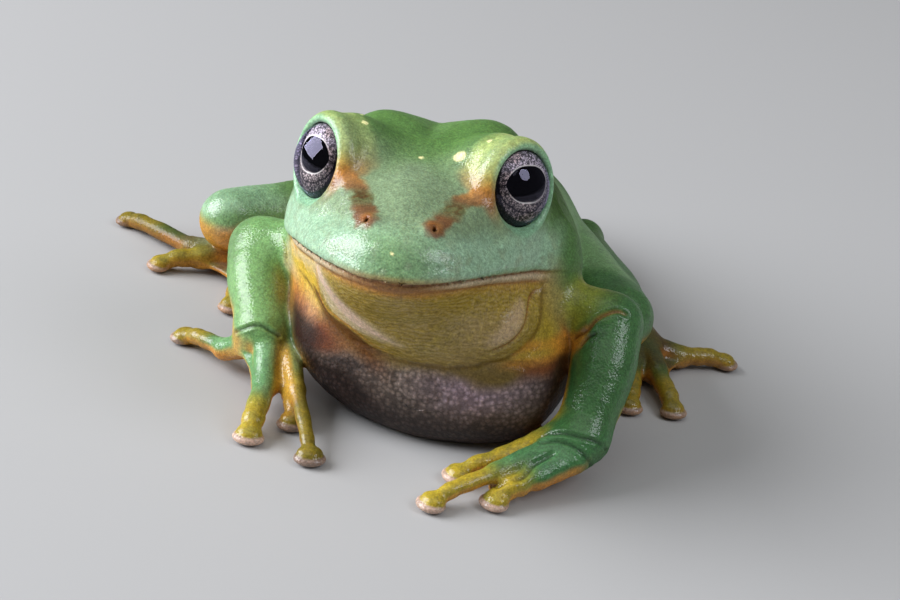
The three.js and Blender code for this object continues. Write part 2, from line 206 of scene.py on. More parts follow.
def through(points, count):
    """A smooth path through points of any number of columns, as count points."""
    points = np.asarray(points, float)
    steps = np.linalg.norm(np.diff(points[:, :3], axis=0), axis=1)
    knots = np.concatenate([[0.0], np.cumsum(steps)])
    return spline(np.column_stack([knots, points]), np.linspace(0.0, knots[-1], count))


def soft_min(a, b, k):
    h = np.maximum(k - np.abs(a - b), 0.0) / k
    return np.minimum(a, b) - h * h * k * 0.25


def soft_max(a, b, k):
    return -soft_min(-a, -b, k)


def hashed(cells, seed):
    """Repeatable numbers from 0 to 1 for whole-number cells. The large numbers only scramble them."""
    c = cells.astype(np.int64)
    n = c[..., 0] * 73856093 ^ c[..., 1] * 19349663 ^ c[..., 2] * 83492791 ^ (seed * 2654435761)
    n = (n ^ (n >> 13)) * 1274126177 & 0x7FFFFFFF
    n = (n ^ (n >> 16)) * 668265263 & 0x7FFFFFFF
    return (n ^ (n >> 15) & 0xFFFFFF) % 16777216 / 16777216.0


def noise(points, size, seed):
    """Smooth value noise from -1 to 1, with features about size wide."""
    q = points / size
    cell = np.floor(q)
    t = q - cell
    t = t * t * (3 - 2 * t)
    total = np.zeros(len(q))
    for corner in np.ndindex(2, 2, 2):
        weight = np.prod(np.where(corner, t, 1 - t), axis=1)
        total += weight * hashed(cell + corner, seed)
    return total * 2 - 1


def cobbles(points, size, seed):
    """Distances to the nearest and the second nearest of jittered points, in units of size."""
    q = points / size
    cell = np.floor(q)
    first = np.full(len(q), FAR)
    second = np.full(len(q), FAR)
    for offset in np.ndindex(3, 3, 3):
        c = cell + (np.array(offset) - 1)
        centre = c + 0.15 + 0.7 * np.stack([hashed(c, seed + k) for k in range(3)], axis=1)
        d = np.linalg.norm(q - centre, axis=1)
        second = np.minimum(second, np.maximum(first, d))
        first = np.minimum(first, d)
    return first, second


def between(a, b, share=0.5, shift=(0, 0, 0)):
    a, b = np.asarray(a, float), np.asarray(b, float)
    return a + (b - a) * share + np.asarray(shift, float)


def away_from(points, place):
    return np.linalg.norm(points - place, axis=1)


def turn_about(axis, degrees):
    return np.array(Matrix.Rotation(math.radians(degrees), 3, axis))


HEAD_AXES = turn_about("Z", HEAD_YAW) @ turn_about("X", -HEAD_PITCH) @ turn_about("Y", HEAD_ROLL)


def to_head(points):
    return (points - HEAD_PLACE) @ HEAD_AXES


def mirrored(local):
    """Places in the head's frame, with its right side folded over on to its left."""
    return np.abs(local * [1, 0, 0]) + local * [0, 1, 1]


def from_head(points):
    return points @ HEAD_AXES.T + HEAD_PLACE


# ---------------------------------------------------------------- shapes
def distance_to_path(points, path, radius=None, flat=1.0):
    """Distance to the surface of a tapered tube along a path. flat squeezes it from above."""
    best = np.full(len(points), FAR)
    radius = np.zeros(len(path)) if radius is None else radius
    for a, b, ra, rb in zip(path[:-1], path[1:], radius[:-1], radius[1:]):
        along = b - a
        t = np.clip((points - a) @ along / max(along @ along, 1e-9), 0.0, 1.0)
        gap = points - a - t[:, None] * along
        gap[:, 2] /= flat
        best = np.minimum(best, np.sqrt(np.einsum("ij,ij->i", gap, gap)) - ra - t * (rb - ra))
    return best


THINNEST_SQUARED = 0.02


def loft_section(y, x, z, table):
    """Distance in its own section to a body of half ellipses along Y, from a table made by squared."""
    values = spline(table, y)
    across = x - values[:, 0]
    up = z - values[:, 4]
    wide = np.maximum(values[:, 1], THINNEST_SQUARED)
    high = np.maximum(np.where(up > 0, values[:, 2], values[:, 3]), THINNEST_SQUARED)
    k0 = np.sqrt(across**2 / wide + up**2 / high)
    k1 = np.sqrt(across**2 / wide**2 + up**2 / high**2)
    return k0 * (k0 - 1) / np.maximum(k1, 1e-3)


def squared(rows):
    """Rows of [y, centre x, half width, top, bottom, widest z], with half sizes squared for the loft."""
    return [
        [y, x, half**2, (top - widest) ** 2, (widest - bottom) ** 2, widest]
        for y, x, half, top, bottom, widest in rows
    ]


LOFT_STEP, STEEPEST, HEAD_REAR_STEEPEST = 0.1, 4.0, 0.9
HEAD_LOFT = squared([[y, 0.0, half, top, low, wide] for y, half, top, low, wide in HEAD_TABLE])
TRUNK_LOFT = squared(TRUNK_TABLE)


def loft(points, table, rear_steepest=STEEPEST):
    """Distance to a body along Y. Its rear end counts as tapering no more steeply than rear_steepest."""
    x, y, z = points.T
    first, last = table[0][0] + 0.01, table[-1][0] - 0.01
    held = np.clip(y, first, last)
    here = loft_section(held, x, z, table)
    ahead = loft_section(np.clip(held + LOFT_STEP, first, last), x, z, table)
    behind = loft_section(np.clip(held - LOFT_STEP, first, last), x, z, table)
    slope = np.clip((ahead - behind) / (2 * LOFT_STEP), -STEEPEST, rear_steepest)
    here = here / np.sqrt(1 + slope * slope)
    past = np.abs(y - held)
    return np.where(past > 0, np.sqrt(np.maximum(here, 0) ** 2 + past**2), here)


def egg(gap, half):
    """Distance to an ellipsoid, from places relative to its middle."""
    k0 = np.linalg.norm(gap / half, axis=1)
    return k0 * (k0 - 1) / np.maximum(np.linalg.norm(gap / half**2, axis=1), 1e-3)


def humps(points, table):
    """Height of a table's swellings at each point."""
    total = np.zeros(len(points))
    for height, centre, radii in table:
        total += height * np.exp(-np.sum(((points - centre) / np.array(radii)) ** 2, axis=1))
    return total


def skull_side(y, z):
    """How far the head reaches sideways at a place on it, in the head's frame."""
    half, top, low, widest = spline(HEAD_TABLE, np.array([float(y)]))[0]
    share = (z - widest) / (top - widest if z > widest else widest - low)
    return half * math.sqrt(max(0.0, 1 - share * share))


def on_skull(y, z, inset=0.0):
    return [skull_side(y, z) - inset, y, z]


EYE_AXIS = np.array([
    math.sin(math.radians(EYE_AZIMUTH)) * math.cos(math.radians(EYE_ELEVATION)),
    -math.cos(math.radians(EYE_AZIMUTH)) * math.cos(math.radians(EYE_ELEVATION)),
    math.sin(math.radians(EYE_ELEVATION)),
])
EYE_UP = np.array([0.0, 0.0, 1.0]) - EYE_AXIS * EYE_AXIS[2]
EYE_UP /= np.linalg.norm(EYE_UP)
EYE_BACK = np.cross(EYE_UP, EYE_AXIS)  # towards the tail, on the left eye
if EYE_BACK[1] < 0:
    EYE_BACK = -EYE_BACK


def about_eye(folded):
    """Depth along the eye's axis, distance from it, and the direction round it, from the tail upwards."""
    gap = folded - EYE_PLACE
    depth = gap @ EYE_AXIS
    up, back = gap @ EYE_UP, gap @ EYE_BACK
    return depth, np.hypot(up, back), np.arctan2(up, back)


NOSTRIL, NOSTRIL_MOUND = np.array([2.80, -10.8, -3.75]), 0.50
NOSTRIL_PIT, PIT_HALF = NOSTRIL + [0.45, -0.30, 0.15], np.array([0.20, 0.34, 0.42])
NOSTRIL_DARK = NOSTRIL + [0.45, -0.3, 0.1]
CANTHUS = through([[6.6, -3.3, -1.6, 0.8], [5.4, -6.4, -2.9, 0.8], [3.9, -9.2, -3.9, 0.6]], 9)
TYMPANUM = np.array(on_skull(9.6, -3.2))
STREAK = through([
    [7.0, -3.9, -0.7, 0], [5.4, -5.5, -1.2, 0], [4.5, -7.4, -1.95, 0], [3.85, -9.2, -2.7, 0],
    [3.3, -11.0, -3.5, 0],
], 13)
EAR_FOLD = through([
    on_skull(6.6, 1.0, 1.0) + [0.75], on_skull(9.4, 0.2, 1.0) + [0.8], on_skull(12.4, -1.8, 1.0) + [0.8],
    on_skull(14.4, -5.2, 1.1) + [0.8], on_skull(15.2, -8.5, 1.2) + [0.7],
], 11)


def mouth_height(folded):
    """Height over the mouth line in the head's frame, and 1 beside the line but 0 behind its corner."""
    y = folded[:, 1]
    line = spline(MOUTH_LINE, y)[:, 0]
    return folded[:, 2] - line, ramp(MOUTH_CORNER_Y + 1.6, MOUTH_CORNER_Y - 1.2, y)


def head_relief(local, folded):
    """Height of the skull's swellings, the lips and the ears over the plain head."""
    side, y, z = folded.T
    relief = humps(folded, HEAD_HUMPS) + humps(local, LEFT_CROWN_HUMP)
    relief -= 0.35 * bell(side, 1.3) * ramp(2.0, 6.0, y) * ramp(0, 2, z)
    above, seen = mouth_height(folded)
    upper_lip = 0.22 * bell(above - 0.75, 0.7)
    under_lip = 0.30 * ramp(0.25, -0.25, above) + 0.15 * ramp(-0.65, -1.3, above)
    mouth = 0.42 * bell(above, 0.17) + 0.12 * bell(above + LIP_BAND + 0.15, 0.2)
    relief += seen * (upper_lip - under_lip - mouth)
    ring = np.hypot(y - TYMPANUM[1], z - TYMPANUM[2])
    return relief + (side > 8) * (0.10 * bell(ring - 1.75, 0.35) - 0.10 * ramp(1.6, 1.2, ring))


def head_shape(points):
    """Distance to the head with its lids, lips, nostrils and ears."""
    local = to_head(points)
    folded = mirrored(local)
    shape = loft(local, HEAD_LOFT, HEAD_REAR_STEEPEST) - head_relief(local, folded)
    shape = soft_min(shape, egg(points - THROAT_PLACE, THROAT_HALF), 3.0)

    # Lids: a bulge with a thick rim round the opening
    depth, off, angle = about_eye(folded)
    shape = soft_min(shape, away_from(folded, LID_PLACE) - LID_RADIUS, 2.2)
    upper = ramp(-0.5, 1.0, np.sin(angle) - 0.6 * np.cos(angle))
    swelling = np.hypot(off - IRIS_RADIUS - 0.55, depth - RIM_DEPTH + 0.75) - 0.12 - 0.45 * upper
    shape = soft_min(shape, swelling, 1.8)
    rim = np.hypot(off - IRIS_RADIUS - 0.24, depth - RIM_DEPTH + 0.26) - 0.30 - 0.12 * upper
    shape = soft_min(shape, rim, 0.9)
    for path in (CANTHUS, EAR_FOLD):
        shape = soft_min(shape, distance_to_path(folded, path[:, :3], path[:, 3]), 1.6)
    shape = soft_min(shape, away_from(folded, NOSTRIL) - NOSTRIL_MOUND, 1.6)

    # Openings: the eye's, a little wider towards the outside, and the nostril's
    slack = (off - IRIS_RADIUS - 0.03 - 0.8 * (depth - RIM_DEPTH)) / 1.28
    shape = soft_max(shape, -np.where(depth > 0.8, slack, FAR), 0.25)
    socket = np.maximum(away_from(folded, EYE_PLACE) - EYE_RADIUS - 0.03, 1.3 - depth)
    shape = np.maximum(shape, -socket)
    pit = (np.linalg.norm((folded - NOSTRIL_PIT) / PIT_HALF, axis=1) - 1) * PIT_HALF[0]
    return soft_max(shape, -pit, 0.25)


def trunk_shape(points):
    """Distance to the trunk, with the hip bones' ridges on the back."""
    x, y, z = points.T
    back = ramp(8.0, 20.0, y) * ramp(44.0, 36.0, y) * ramp(6.0, 10.0, z)
    midline = spline([[row[0], row[1]] for row in TRUNK_TABLE], y)[:, 0]
    off = np.abs(x - midline)
    relief = back * (0.45 * bell(off - 4.6 + 0.10 * (y - 20), 1.5) - 0.25 * bell(off, 1.4))
    return loft(points, TRUNK_LOFT) - relief - humps(points, TRUNK_HUMPS)


def tube(points_and_radii, count, flat=1.0):
    path = through(points_and_radii, count)
    return path[:, :3], path[:, 3], flat


def tube_shape(points, form):
    path, radius, flat = form
    return distance_to_path(points, path, radius, flat)


def limb_length(start, end, side, form):
    """One length of a limb as a tube, from joint to joint."""
    bow = np.array(form["bow"], float) * [side, 1, 1]
    last = len(form["radii"]) - 1
    rows = []
    for i, radius in enumerate(form["radii"]):
        share = i / last
        rows.append([*between(start, end, share, bow * 4 * share * (1 - share)), radius])
    return tube(rows, 11)


def outline_distance(flat_points, outline):
    """Signed distance in plan to a closed outline."""
    best = np.full(len(flat_points), np.inf)
    inside = np.zeros(len(flat_points), bool)
    x, y = flat_points.T
    for (ax, ay), (bx, by) in zip(outline, np.roll(outline, -1, axis=0)):
        ex, ey = bx - ax, by - ay
        t = np.clip(((x - ax) * ex + (y - ay) * ey) / max(ex * ex + ey * ey, 1e-9), 0, 1)
        best = np.minimum(best, np.hypot(x - ax - t * ex, y - ay - t * ey))
        crosses = (ay > y) != (by > y)
        with np.errstate(divide="ignore", invalid="ignore"):
            inside ^= crosses & (x < (bx - ax) * (y - ay) / (by - ay) + ax)
    return np.where(inside, -best, best)


# Along a digit: how far back from its pad's middle, its share of the radius and its rise over a straight
# line. The first rows count back in shares of the digit's length and the others in millimetres.
DIGIT_BACK = [[1.0, 1.12, 0.0], [0.70, 1.02, 0.30], [0.55, 1.07, 0.40]]
DIGIT_FRONT = [[2.9, 0.97, 0.50], [2.2, 1.06, 0.50], [1.5, 0.94, 0.38], [0.5, 0.92, 0.22]]


def digit_forms(digit, form):
    """A digit's two tubes, from its root to its tip, and its pad's centre, heading and half sizes."""
    tip, root, wide, knuckle = digit
    root, ground = np.array(root, float), np.array([*tip, PAD_LIFT])
    if knuckle is None:
        knuckle = between(root, [*tip, KNUCKLE_Z], form["reach"])
    knuckle = np.array(knuckle, float)
    run = (ground - knuckle)[:2]
    heading = run / np.hypot(*run)
    total = np.linalg.norm(ground - knuckle)
    r = form["radius"] * wide
    profile = DIGIT_BACK + [[back / total, share, lift] for back, share, lift in DIGIT_FRONT]
    rows = [[*between(knuckle, ground, 1 - back, (0, 0, lift)), r * share] for back, share, lift in profile]
    inner = PALM_RADIUS * (0.35 + 0.65 * wide)
    lobe = tube([[*root, inner], [*between(root, knuckle), inner], [*knuckle, KNUCKLE_RADIUS * wide]], 5)
    return [lobe, tube(rows, 17, 0.90)], (ground, heading, np.array(form["pad"]) / 2)


def pad_places(points, pad):
    """Places relative to a pad's middle: forwards along the digit, across it and up."""
    centre, heading, _ = pad
    gap = points - centre
    along = gap[:, 0] * heading[0] + gap[:, 1] * heading[1]
    across = -gap[:, 0] * heading[1] + gap[:, 1] * heading[0]
    return np.column_stack([along, across, gap[:, 2]])


def pad_shape(points, pad):
    """A round flat disc, and on it the dome of the digit's end."""
    gap, half = pad_places(points, pad), pad[2]
    return soft_min(egg(gap, half), egg(gap - DOME_SHIFT, half * DOME_SHARE), 0.12)


def web_outline(pair, share):
    """The outline in plan of the web between two digits."""
    roots = [np.array(digit[1][:2], float) for digit in pair]
    a, b = (root + (np.array(digit[0], float) - root) * share for root, digit in zip(roots, pair))
    edge = (a + b) / 2 * 0.6 + (roots[0] + roots[1]) / 2 * 0.4
    t = np.linspace(0, 1, 7)[:, None]
    curve = (1 - t) ** 2 * a + 2 * t * (1 - t) * edge + t * t * b
    return np.vstack([roots[0], curve, roots[1]])


def paw_forms(wrist, wrist_radius, digits, form):
    """The tubes, pads and webs of a hand or foot."""
    tubes, pads, webs = [], [], []
    for digit in digits:
        root, middle = digit[1], between(wrist, digit[1])
        rows = [[*wrist, wrist_radius], [*middle, wrist_radius * 0.85], [*root, PALM_RADIUS * 1.05]]
        tubes.append(tube(rows, 5, 0.85))
        lengths, pad = digit_forms(digit, form)
        tubes += lengths
        pads.append(pad)
    for pair in zip(digits, digits[1:]):
        middle = between(pair[0][1], pair[1][1])
        length = min(math.hypot(digit[0][0] - middle[0], digit[0][1] - middle[1]) for digit in pair)
        webs.append((web_outline(pair, form["web"]), middle, length))
    return tubes, pads, webs


def paw_shape(points, paw):
    tubes, pads, webs = paw
    shape = np.full(len(points), FAR)
    for form in tubes:
        shape = soft_min(shape, tube_shape(points, form), DIGIT_BLEND)
    for outline, root, length in webs:
        flat = outline_distance(points[:, :2], outline)
        away = np.hypot(*(points[:, :2] - root[:2]).T)
        level = WEB_Z + (root[2] - 0.4 - WEB_Z) * np.clip(1 - away / length, 0, 1)
        sheet = soft_max(flat, np.abs(points[:, 2] - level) - WEB_HALF, 0.25)
        shape = soft_min(shape, sheet, WEB_BLEND)
    for pad in pads:
        shape = soft_min(shape, pad_shape(points, pad), PAD_BLEND)
    return shape


BOX_MARGIN, PAD_REACH = 4.0, 2.0


def blend_about(points, joint, everywhere, more, reach):
    return everywhere + more * bell(away_from(points, joint), reach)


def box_of(tubes, pads):
    """The lowest and highest corner of the space in which a limb's distance counts."""
    corners = [np.vstack([path - radius[:, None], path + radius[:, None]]) for path, radius, _ in tubes]
    corners += [np.vstack([pad[0] - PAD_REACH, pad[0] + PAD_REACH]) for pad in pads]
    corners = np.vstack(corners)
    return corners.min(0) - BOX_MARGIN, corners.max(0) + BOX_MARGIN


def make_groups():
    """Each limb's box, its shape, the joint where it meets the trunk, and how softly."""
    groups = {}
    for which, arm in ARMS.items():
        upper = limb_length(arm["shoulder"], arm["elbow"], arm["side"], UPPER_ARM)
        fore = limb_length(arm["elbow"], arm["wrist"], arm["side"], FOREARM)
        paw = paw_forms(arm["wrist"], FOREARM["radii"][-1], arm["digits"], HAND)

        def shape(points, upper=upper, fore=fore, paw=paw):
            arm = soft_min(tube_shape(points, upper), tube_shape(points, fore), ELBOW_BLEND)
            return soft_min(arm, paw_shape(points, paw), WRIST_BLEND)

        box = box_of([upper, fore, *paw[0]], paw[1])
        groups["arm_" + which] = (box, shape, np.array(arm["shoulder"], float), SHOULDER_BLEND)
    for which, leg in LEGS.items():
        thigh = limb_length(leg["hip"], leg["knee"], leg["side"], THIGH)
        shank = limb_length(leg["knee"], leg["heel"], leg["side"], SHANK)
        tarsus = limb_length(leg["heel"], leg["ball"], leg["side"], TARSUS)
        ankle = between(leg["heel"], leg["ball"], 0.8)
        paw = paw_forms(ankle, TARSUS["radii"][-1], leg["digits"], FOOT)
        knee, heel = np.array(leg["knee"], float), np.array(leg["heel"], float)

        def shape(points, thigh=thigh, shank=shank, tarsus=tarsus, paw=paw, knee=knee, heel=heel):
            at_knee = blend_about(points, knee, *KNEE_BLEND)
            at_heel = blend_about(points, heel, *HEEL_BLEND)
            leg = soft_min(tube_shape(points, thigh), tube_shape(points, shank), at_knee)
            foot = soft_min(tube_shape(points, tarsus), paw_shape(points, paw), ANKLE_BLEND)
            return soft_min(leg, foot, at_heel)

        box = box_of([thigh, shank, tarsus, *paw[0]], paw[1])
        groups["leg_" + which] = (box, shape, np.array(leg["hip"], float), HIP_BLEND)
    return groups


LIMB_GROUPS = make_groups()
HEAD_BOX = (np.array([-22.0, -32.0, 0.0]), np.array([23.0, 21.0, 37.0]))
TRUNK_BOX = (np.array([-21.0, -25.0, -5.0]), np.array([23.0, 48.0, 33.0]))


def group_distances(points):
    """Distance to each group of the body, one row per group."""
    groups = [(TRUNK_BOX, trunk_shape), (HEAD_BOX, head_shape)] + [g[:2] for g in LIMB_GROUPS.values()]
    rows = np.full((len(groups), len(points)), FAR)
    for row, (box, shape) in zip(rows, groups):
        near = np.all((points > box[0]) & (points < box[1]), axis=1)
        row[near] = shape(points[near])
    return rows


def joined(points, rows):
    """The whole body's distance from its groups' distances."""
    blend = CHEST_BLEND + (NAPE_BLEND - CHEST_BLEND) * ramp(-15.0, -9.0, points[:, 1])
    shape = soft_min(rows[0], rows[1], blend)
    for row, (_, _, joint, softness) in zip(rows[2:], LIMB_GROUPS.values()):
        shape = soft_min(shape, row, blend_about(points, joint, *softness))
    return soft_max(shape, FLOOR_GAP - points[:, 2], 0.25)


def field(points):
    return joined(points, group_distances(points))


# ---------------------------------------------------------------- meshing
GRID_LOW = np.array([-45.0, -34.0, -0.8])
GRID_HIGH = np.array([36.0, 46.0, 34.6])
BLOCK = 4  # grid steps along a block, whose middle is sampled first
SETTLE_STEP = 0.25
COARSE_ROUNDS, FINE_ROUNDS, RELAX_SHARE = 4, 3, 0.5


def sample_grid(step):
    """The field on a grid: exact near the surface, and one value for a block of points elsewhere."""
    block = step * BLOCK
    counts = np.ceil((GRID_HIGH - GRID_LOW) / block).astype(int)
    centres = np.stack(np.meshgrid(*[np.arange(n) + 0.5 for n in counts], indexing="ij"), axis=-1)
    rough = field(GRID_LOW + centres.reshape(-1, 3) * block).reshape(counts)
    near = np.abs(rough) < block * 1.5
    values = rough
    for axis in range(3):
        values = np.repeat(values, BLOCK, axis=axis)
        near = np.repeat(near, BLOCK, axis=axis)
    values[near] = field(GRID_LOW + np.argwhere(near) * step)
    return values


def cell_points(values, cells):
    """The middle of the places where each cell's edges cross the zero level, in cells."""
    total = np.zeros((len(cells), 3))
    count = np.zeros(len(cells))
    for a in np.ndindex(2, 2, 2):
        for axis in range(3):
            if a[axis]:
                continue
            b = list(a)
            b[axis] = 1
            va = values[tuple((cells + a).T)]
            vb = values[tuple((cells + b).T)]
            cut = (va < 0) != (vb < 0)
            t = np.where(cut, va / np.where(cut, va - vb, 1.0), 0.0)
            place = np.array(a, float) + t[:, None] * (np.array(b) - np.array(a))
            total[cut] += place[cut]
            count[cut] += 1
    return cells + total / count[:, None]


def surface_net(values, step):
    """Points and four-cornered faces on the zero level of a grid."""
    inside = values < 0
    n = np.array(values.shape) - 1
    held = np.zeros(n, np.int8)
    for o in np.ndindex(2, 2, 2):
        held += inside[o[0] : o[0] + n[0], o[1] : o[1] + n[1], o[2] : o[2] + n[2]]
    crossing = (held > 0) & (held < 8)
    cells = np.argwhere(crossing)
    number = np.full(n, -1, np.int64)
    number[crossing] = np.arange(len(cells))
    faces = []
    for axis in range(3):
        du, dv = np.roll(np.eye(3, dtype=int)[axis], 1), np.roll(np.eye(3, dtype=int)[axis], 2)
        low = np.array([1, 1, 1])
        low[axis] = 0
        span = [slice(low[i], n[i]) for i in range(3)]
        first = inside[tuple(span)]
        span[axis] = slice(1, n[axis] + 1)
        second = inside[tuple(span)]
        for rising in (True, False):
            at = np.argwhere(first & ~second if rising else ~first & second) + low
            loop = [at - du - dv, at - dv, at, at - du]
            if not rising:
                loop = loop[::-1]
            faces.append(np.stack([number[tuple(c.T)] for c in loop], axis=1))
    return GRID_LOW + cell_points(values, cells) * step, np.vstack(faces)


def edges_of(faces):
    """The unique edges of four-cornered faces, and each face's edges."""
    pairs = np.stack([faces, np.roll(faces, -1, axis=1)], axis=2).reshape(-1, 2)
    pairs.sort(axis=1)
    keys = pairs[:, 0] * (faces.max() + 1) + pairs[:, 1]
    _, first, back = np.unique(keys, return_index=True, return_inverse=True)
    return pairs[first], back.reshape(-1, 4)


def split_faces(points, faces):
    """Cuts each face into four."""
    edges, sides = edges_of(faces)
    n, m = len(points), len(edges)
    points = np.vstack([points, points[edges].mean(1), points[faces].mean(1)])
    middle = n + m + np.arange(len(faces))
    parts = [
        np.stack([faces[:, i], n + sides[:, i], middle, n + sides[:, i - 1]], axis=1) for i in range(4)
    ]
    return points, np.vstack(parts)


def normals_of(points, faces):
    a, b, c, d = (points[faces[:, i]] for i in range(4))
    flat = np.cross(c - a, d - b)
    total = np.zeros_like(points)
    for axis in range(3):
        for i in range(4):
            total[:, axis] += np.bincount(faces[:, i], flat[:, axis], len(points))
    return total / np.maximum(np.linalg.norm(total, axis=1), 1e-12)[:, None]


def relax(points, faces, rounds):
    """Evens out the mesh along the surface and puts it back on the zero level."""
    edges, _ = edges_of(faces)
    count = np.bincount(edges.ravel(), minlength=len(points))[:, None]
    for _ in range(rounds):
        total = np.zeros_like(points)
        for a, b in (edges.T, edges.T[::-1]):
            for axis in range(3):
                total[:, axis] += np.bincount(a, points[b, axis], len(points))
        normal = normals_of(points, faces)
        shift = (total / count - points) * RELAX_SHARE
        shift -= normal * np.einsum("ij,ij->i", shift, normal)[:, None]
        points = settle(points + shift, normal)
    return points


def settle(points, normal):
    """Moves points along their normals to the zero level, by SETTLE_STEP at most."""
    return points - normal * np.clip(field(points), -SETTLE_STEP, SETTLE_STEP)[:, None]


def largest_part(points, faces):
    """Keeps the biggest connected surface."""
    label = np.arange(len(points))
    edges, _ = edges_of(faces)
    while True:
        low = np.minimum(label[edges[:, 0]], label[edges[:, 1]])
        new = label.copy()
        np.minimum.at(new, edges[:, 0], low)
        np.minimum.at(new, edges[:, 1], low)
        new = new[new]
        if np.array_equal(new, label):
            break
        label = new
    keep = label == np.bincount(label).argmax()
    number = np.cumsum(keep) - 1
    return points[keep], number[faces[keep[faces[:, 0]]]]


def skin_mesh(step):
    """The smooth skin: a net on a grid, evened out, split once and evened out again."""
    points, faces = surface_net(sample_grid(step), step)
    points, faces = largest_part(points, faces)
    points = relax(points, faces, COARSE_ROUNDS)
    points, faces = split_faces(points, faces)
    points = relax(points, faces, FINE_ROUNDS)
    return settle(points, normals_of(points, faces)), faces


GRID_STEP = 0.4


# ---------------------------------------------------------------- folds and grain of the skin
# Paths on the skin in the frame's own axes: x, y, z and half width
PALE_FOLD_RIGHT = through([
    [-6.5, -22.4, 19.0, 0.8], [-5.3, -21.9, 17.5, 1.4], [-4.2, -21.5, 16.0, 1.5], [-2.4, -21.4, 14.6, 1.2],
    [-0.5, -21.4, 13.6, 0.8], [1.1, -21.3, 12.9, 0.45], [2.4, -21.1, 12.4, 0.1],
], 25)
PALE_FAN_RIGHT = through([
    [-6.9, -21.6, 19.0, 0.5], [-6.6, -20.6, 17.4, 1.2], [-6.0, -20.0, 15.8, 1.4], [-4.7, -20.2, 14.5, 1.4],
    [-2.9, -20.7, 13.6, 1.1], [-1.2, -21.0, 12.9, 0.6], [0.4, -21.0, 12.3, 0.25],
], 21)
FAN_EDGE_RIGHT = through([
    [-6.9, -21.9, 19.2, 0.1], [-7.2, -20.2, 17.2, 0.14], [-7.3, -18.3, 14.8, 0.16],
    [-6.7, -18.1, 13.4, 0.16], [-4.3, -19.6, 12.9, 0.16], [-2.4, -20.1, 12.1, 0.14],
    [-1.3, -19.8, 11.4, 0.10], [1.5, -19.2, 10.2, 0.05],
], 25)
# x and z of the skin just below that edge
FAN_EDGE_HEIGHT = [
    [-8.0, 15.2], [-7.3, 14.4], [-6.5, 13.2], [-4.3, 12.6],
    [-2.4, 11.8], [-1.3, 11.1], [1.5, 9.9], [4.0, 9.6],
]
PALE_FOLD_LEFT = through([
    [12.6, -15.3, 16.9, 0.6], [12.6, -16.4, 16.1, 1.0], [12.4, -17.3, 15.4, 1.1], [11.8, -18.2, 14.6, 0.9],
    [10.8, -18.9, 13.9, 0.4],
], 15)
THROAT_EDGE_LEFT = through([
    [14.3, -8.3, 17.4, 0.20], [13.1, -12.6, 16.9, 0.16], [13.4, -14.6, 16.1, 0.14],
    [13.4, -16.1, 14.9, 0.12], [12.7, -17.4, 13.7, 0.12], [11.3, -18.5, 12.9, 0.08],
], 21)
ARM_ROOT_LEFT = through([
    [14.2, -8.9, 17.1, 0.35], [14.2, -10.2, 16.0, 0.30], [15.2, -10.3, 14.2, 0.22], [16.5, -9.7, 12.4, 0.5],
], 15)
ARMPIT_LEFT = through([
    [12.8, -15.9, 11.9, 0.2], [13.7, -14.8, 12.3, 0.5], [15.3, -12.3, 11.7, 0.8], [16.8, -10.4, 11.7, 1.1],
    [18.3, -11.2, 12.5, 1.0], [18.9, -11.0, 13.9, 0.4],
], 21)
ELBOW_LEFT = through([
    [17.9, -10.4, 12.4, 0.2], [19.0, -10.9, 13.7, 0.18], [19.8, -10.4, 15.0, 0.16],
    [20.7, -10.0, 15.7, 0.14], [21.9, -9.4, 16.0, 0.1], [22.5, -9.3, 15.8, 0.04],
], 21)
ELBOW_RIGHT = through([
    [-18.7, -3.7, 13.9, 0.05], [-17.5, -3.9, 14.0, 0.12], [-16.3, -4.6, 13.8, 0.14],
    [-15.2, -5.4, 13.1, 0.16], [-14.4, -6.0, 12.0, 0.2], [-13.8, -5.9, 10.4, 0.2],
], 17)
WRIST_CREASES = [
    through([[-17.0, -13.2, 5.5, 0], [-15.9, -13.7, 6.5, 0], [-14.9, -13.6, 7.0, 0], [-14.0, -13.5, 7.0, 0],
             [-13.2, -13.5, 6.7, 0], [-12.3, -13.2, 6.2, 0]], 15),
    through([[17.4, -18.6, 4.8, 0], [19.2, -18.8, 5.8, 0], [21.4, -19.0, 6.0, 0], [23.0, -18.3, 5.5, 0],
             [23.9, -17.1, 4.2, 0]], 13),
    through([[17.7, -20.0, 4.9, 0], [19.6, -19.5, 5.2, 0], [21.2, -19.7, 5.1, 0], [22.4, -19.6, 4.2, 0],
             [22.7, -18.6, 2.9, 0]], 13),
    through([[18.9, -11.8, 12.3, 0], [19.4, -11.5, 13.3, 0], [20.0, -11.5, 13.8, 0]], 7),
]
METACARPAL_GROOVE = through([
    [15.0, -25.6, 2.0, 0], [17.1, -24.4, 2.9, 0], [17.8, -22.4, 3.6, 0], [19.1, -20.8, 4.3, 0],
], 13)
CHEST_CREASE = through([
    [-3.0, -17.8, 10.2, 0], [-0.4, -18.6, 10.0, 0], [2.8, -19.0, 9.9, 0], [5.3, -19.0, 10.0, 0],
    [7.5, -18.6, 10.3, 0], [9.5, -18.4, 11.1, 0], [11.9, -16.9, 10.9, 0], [14.2, -15.7, 10.6, 0],
], 31)
# Grooves in the skin: path, half width, depth
GROOVES = [
    (THROAT_EDGE_LEFT, 0.28, 0.18), (ARM_ROOT_LEFT, 0.30, 0.14), (ELBOW_LEFT, 0.26, 0.24),
    (ELBOW_RIGHT, 0.20, 0.15), (METACARPAL_GROOVE, 0.28, 0.26), (CHEST_CREASE, 0.35, 0.13),
    *[(path, 0.19, 0.22) for path in WRIST_CREASES],
]
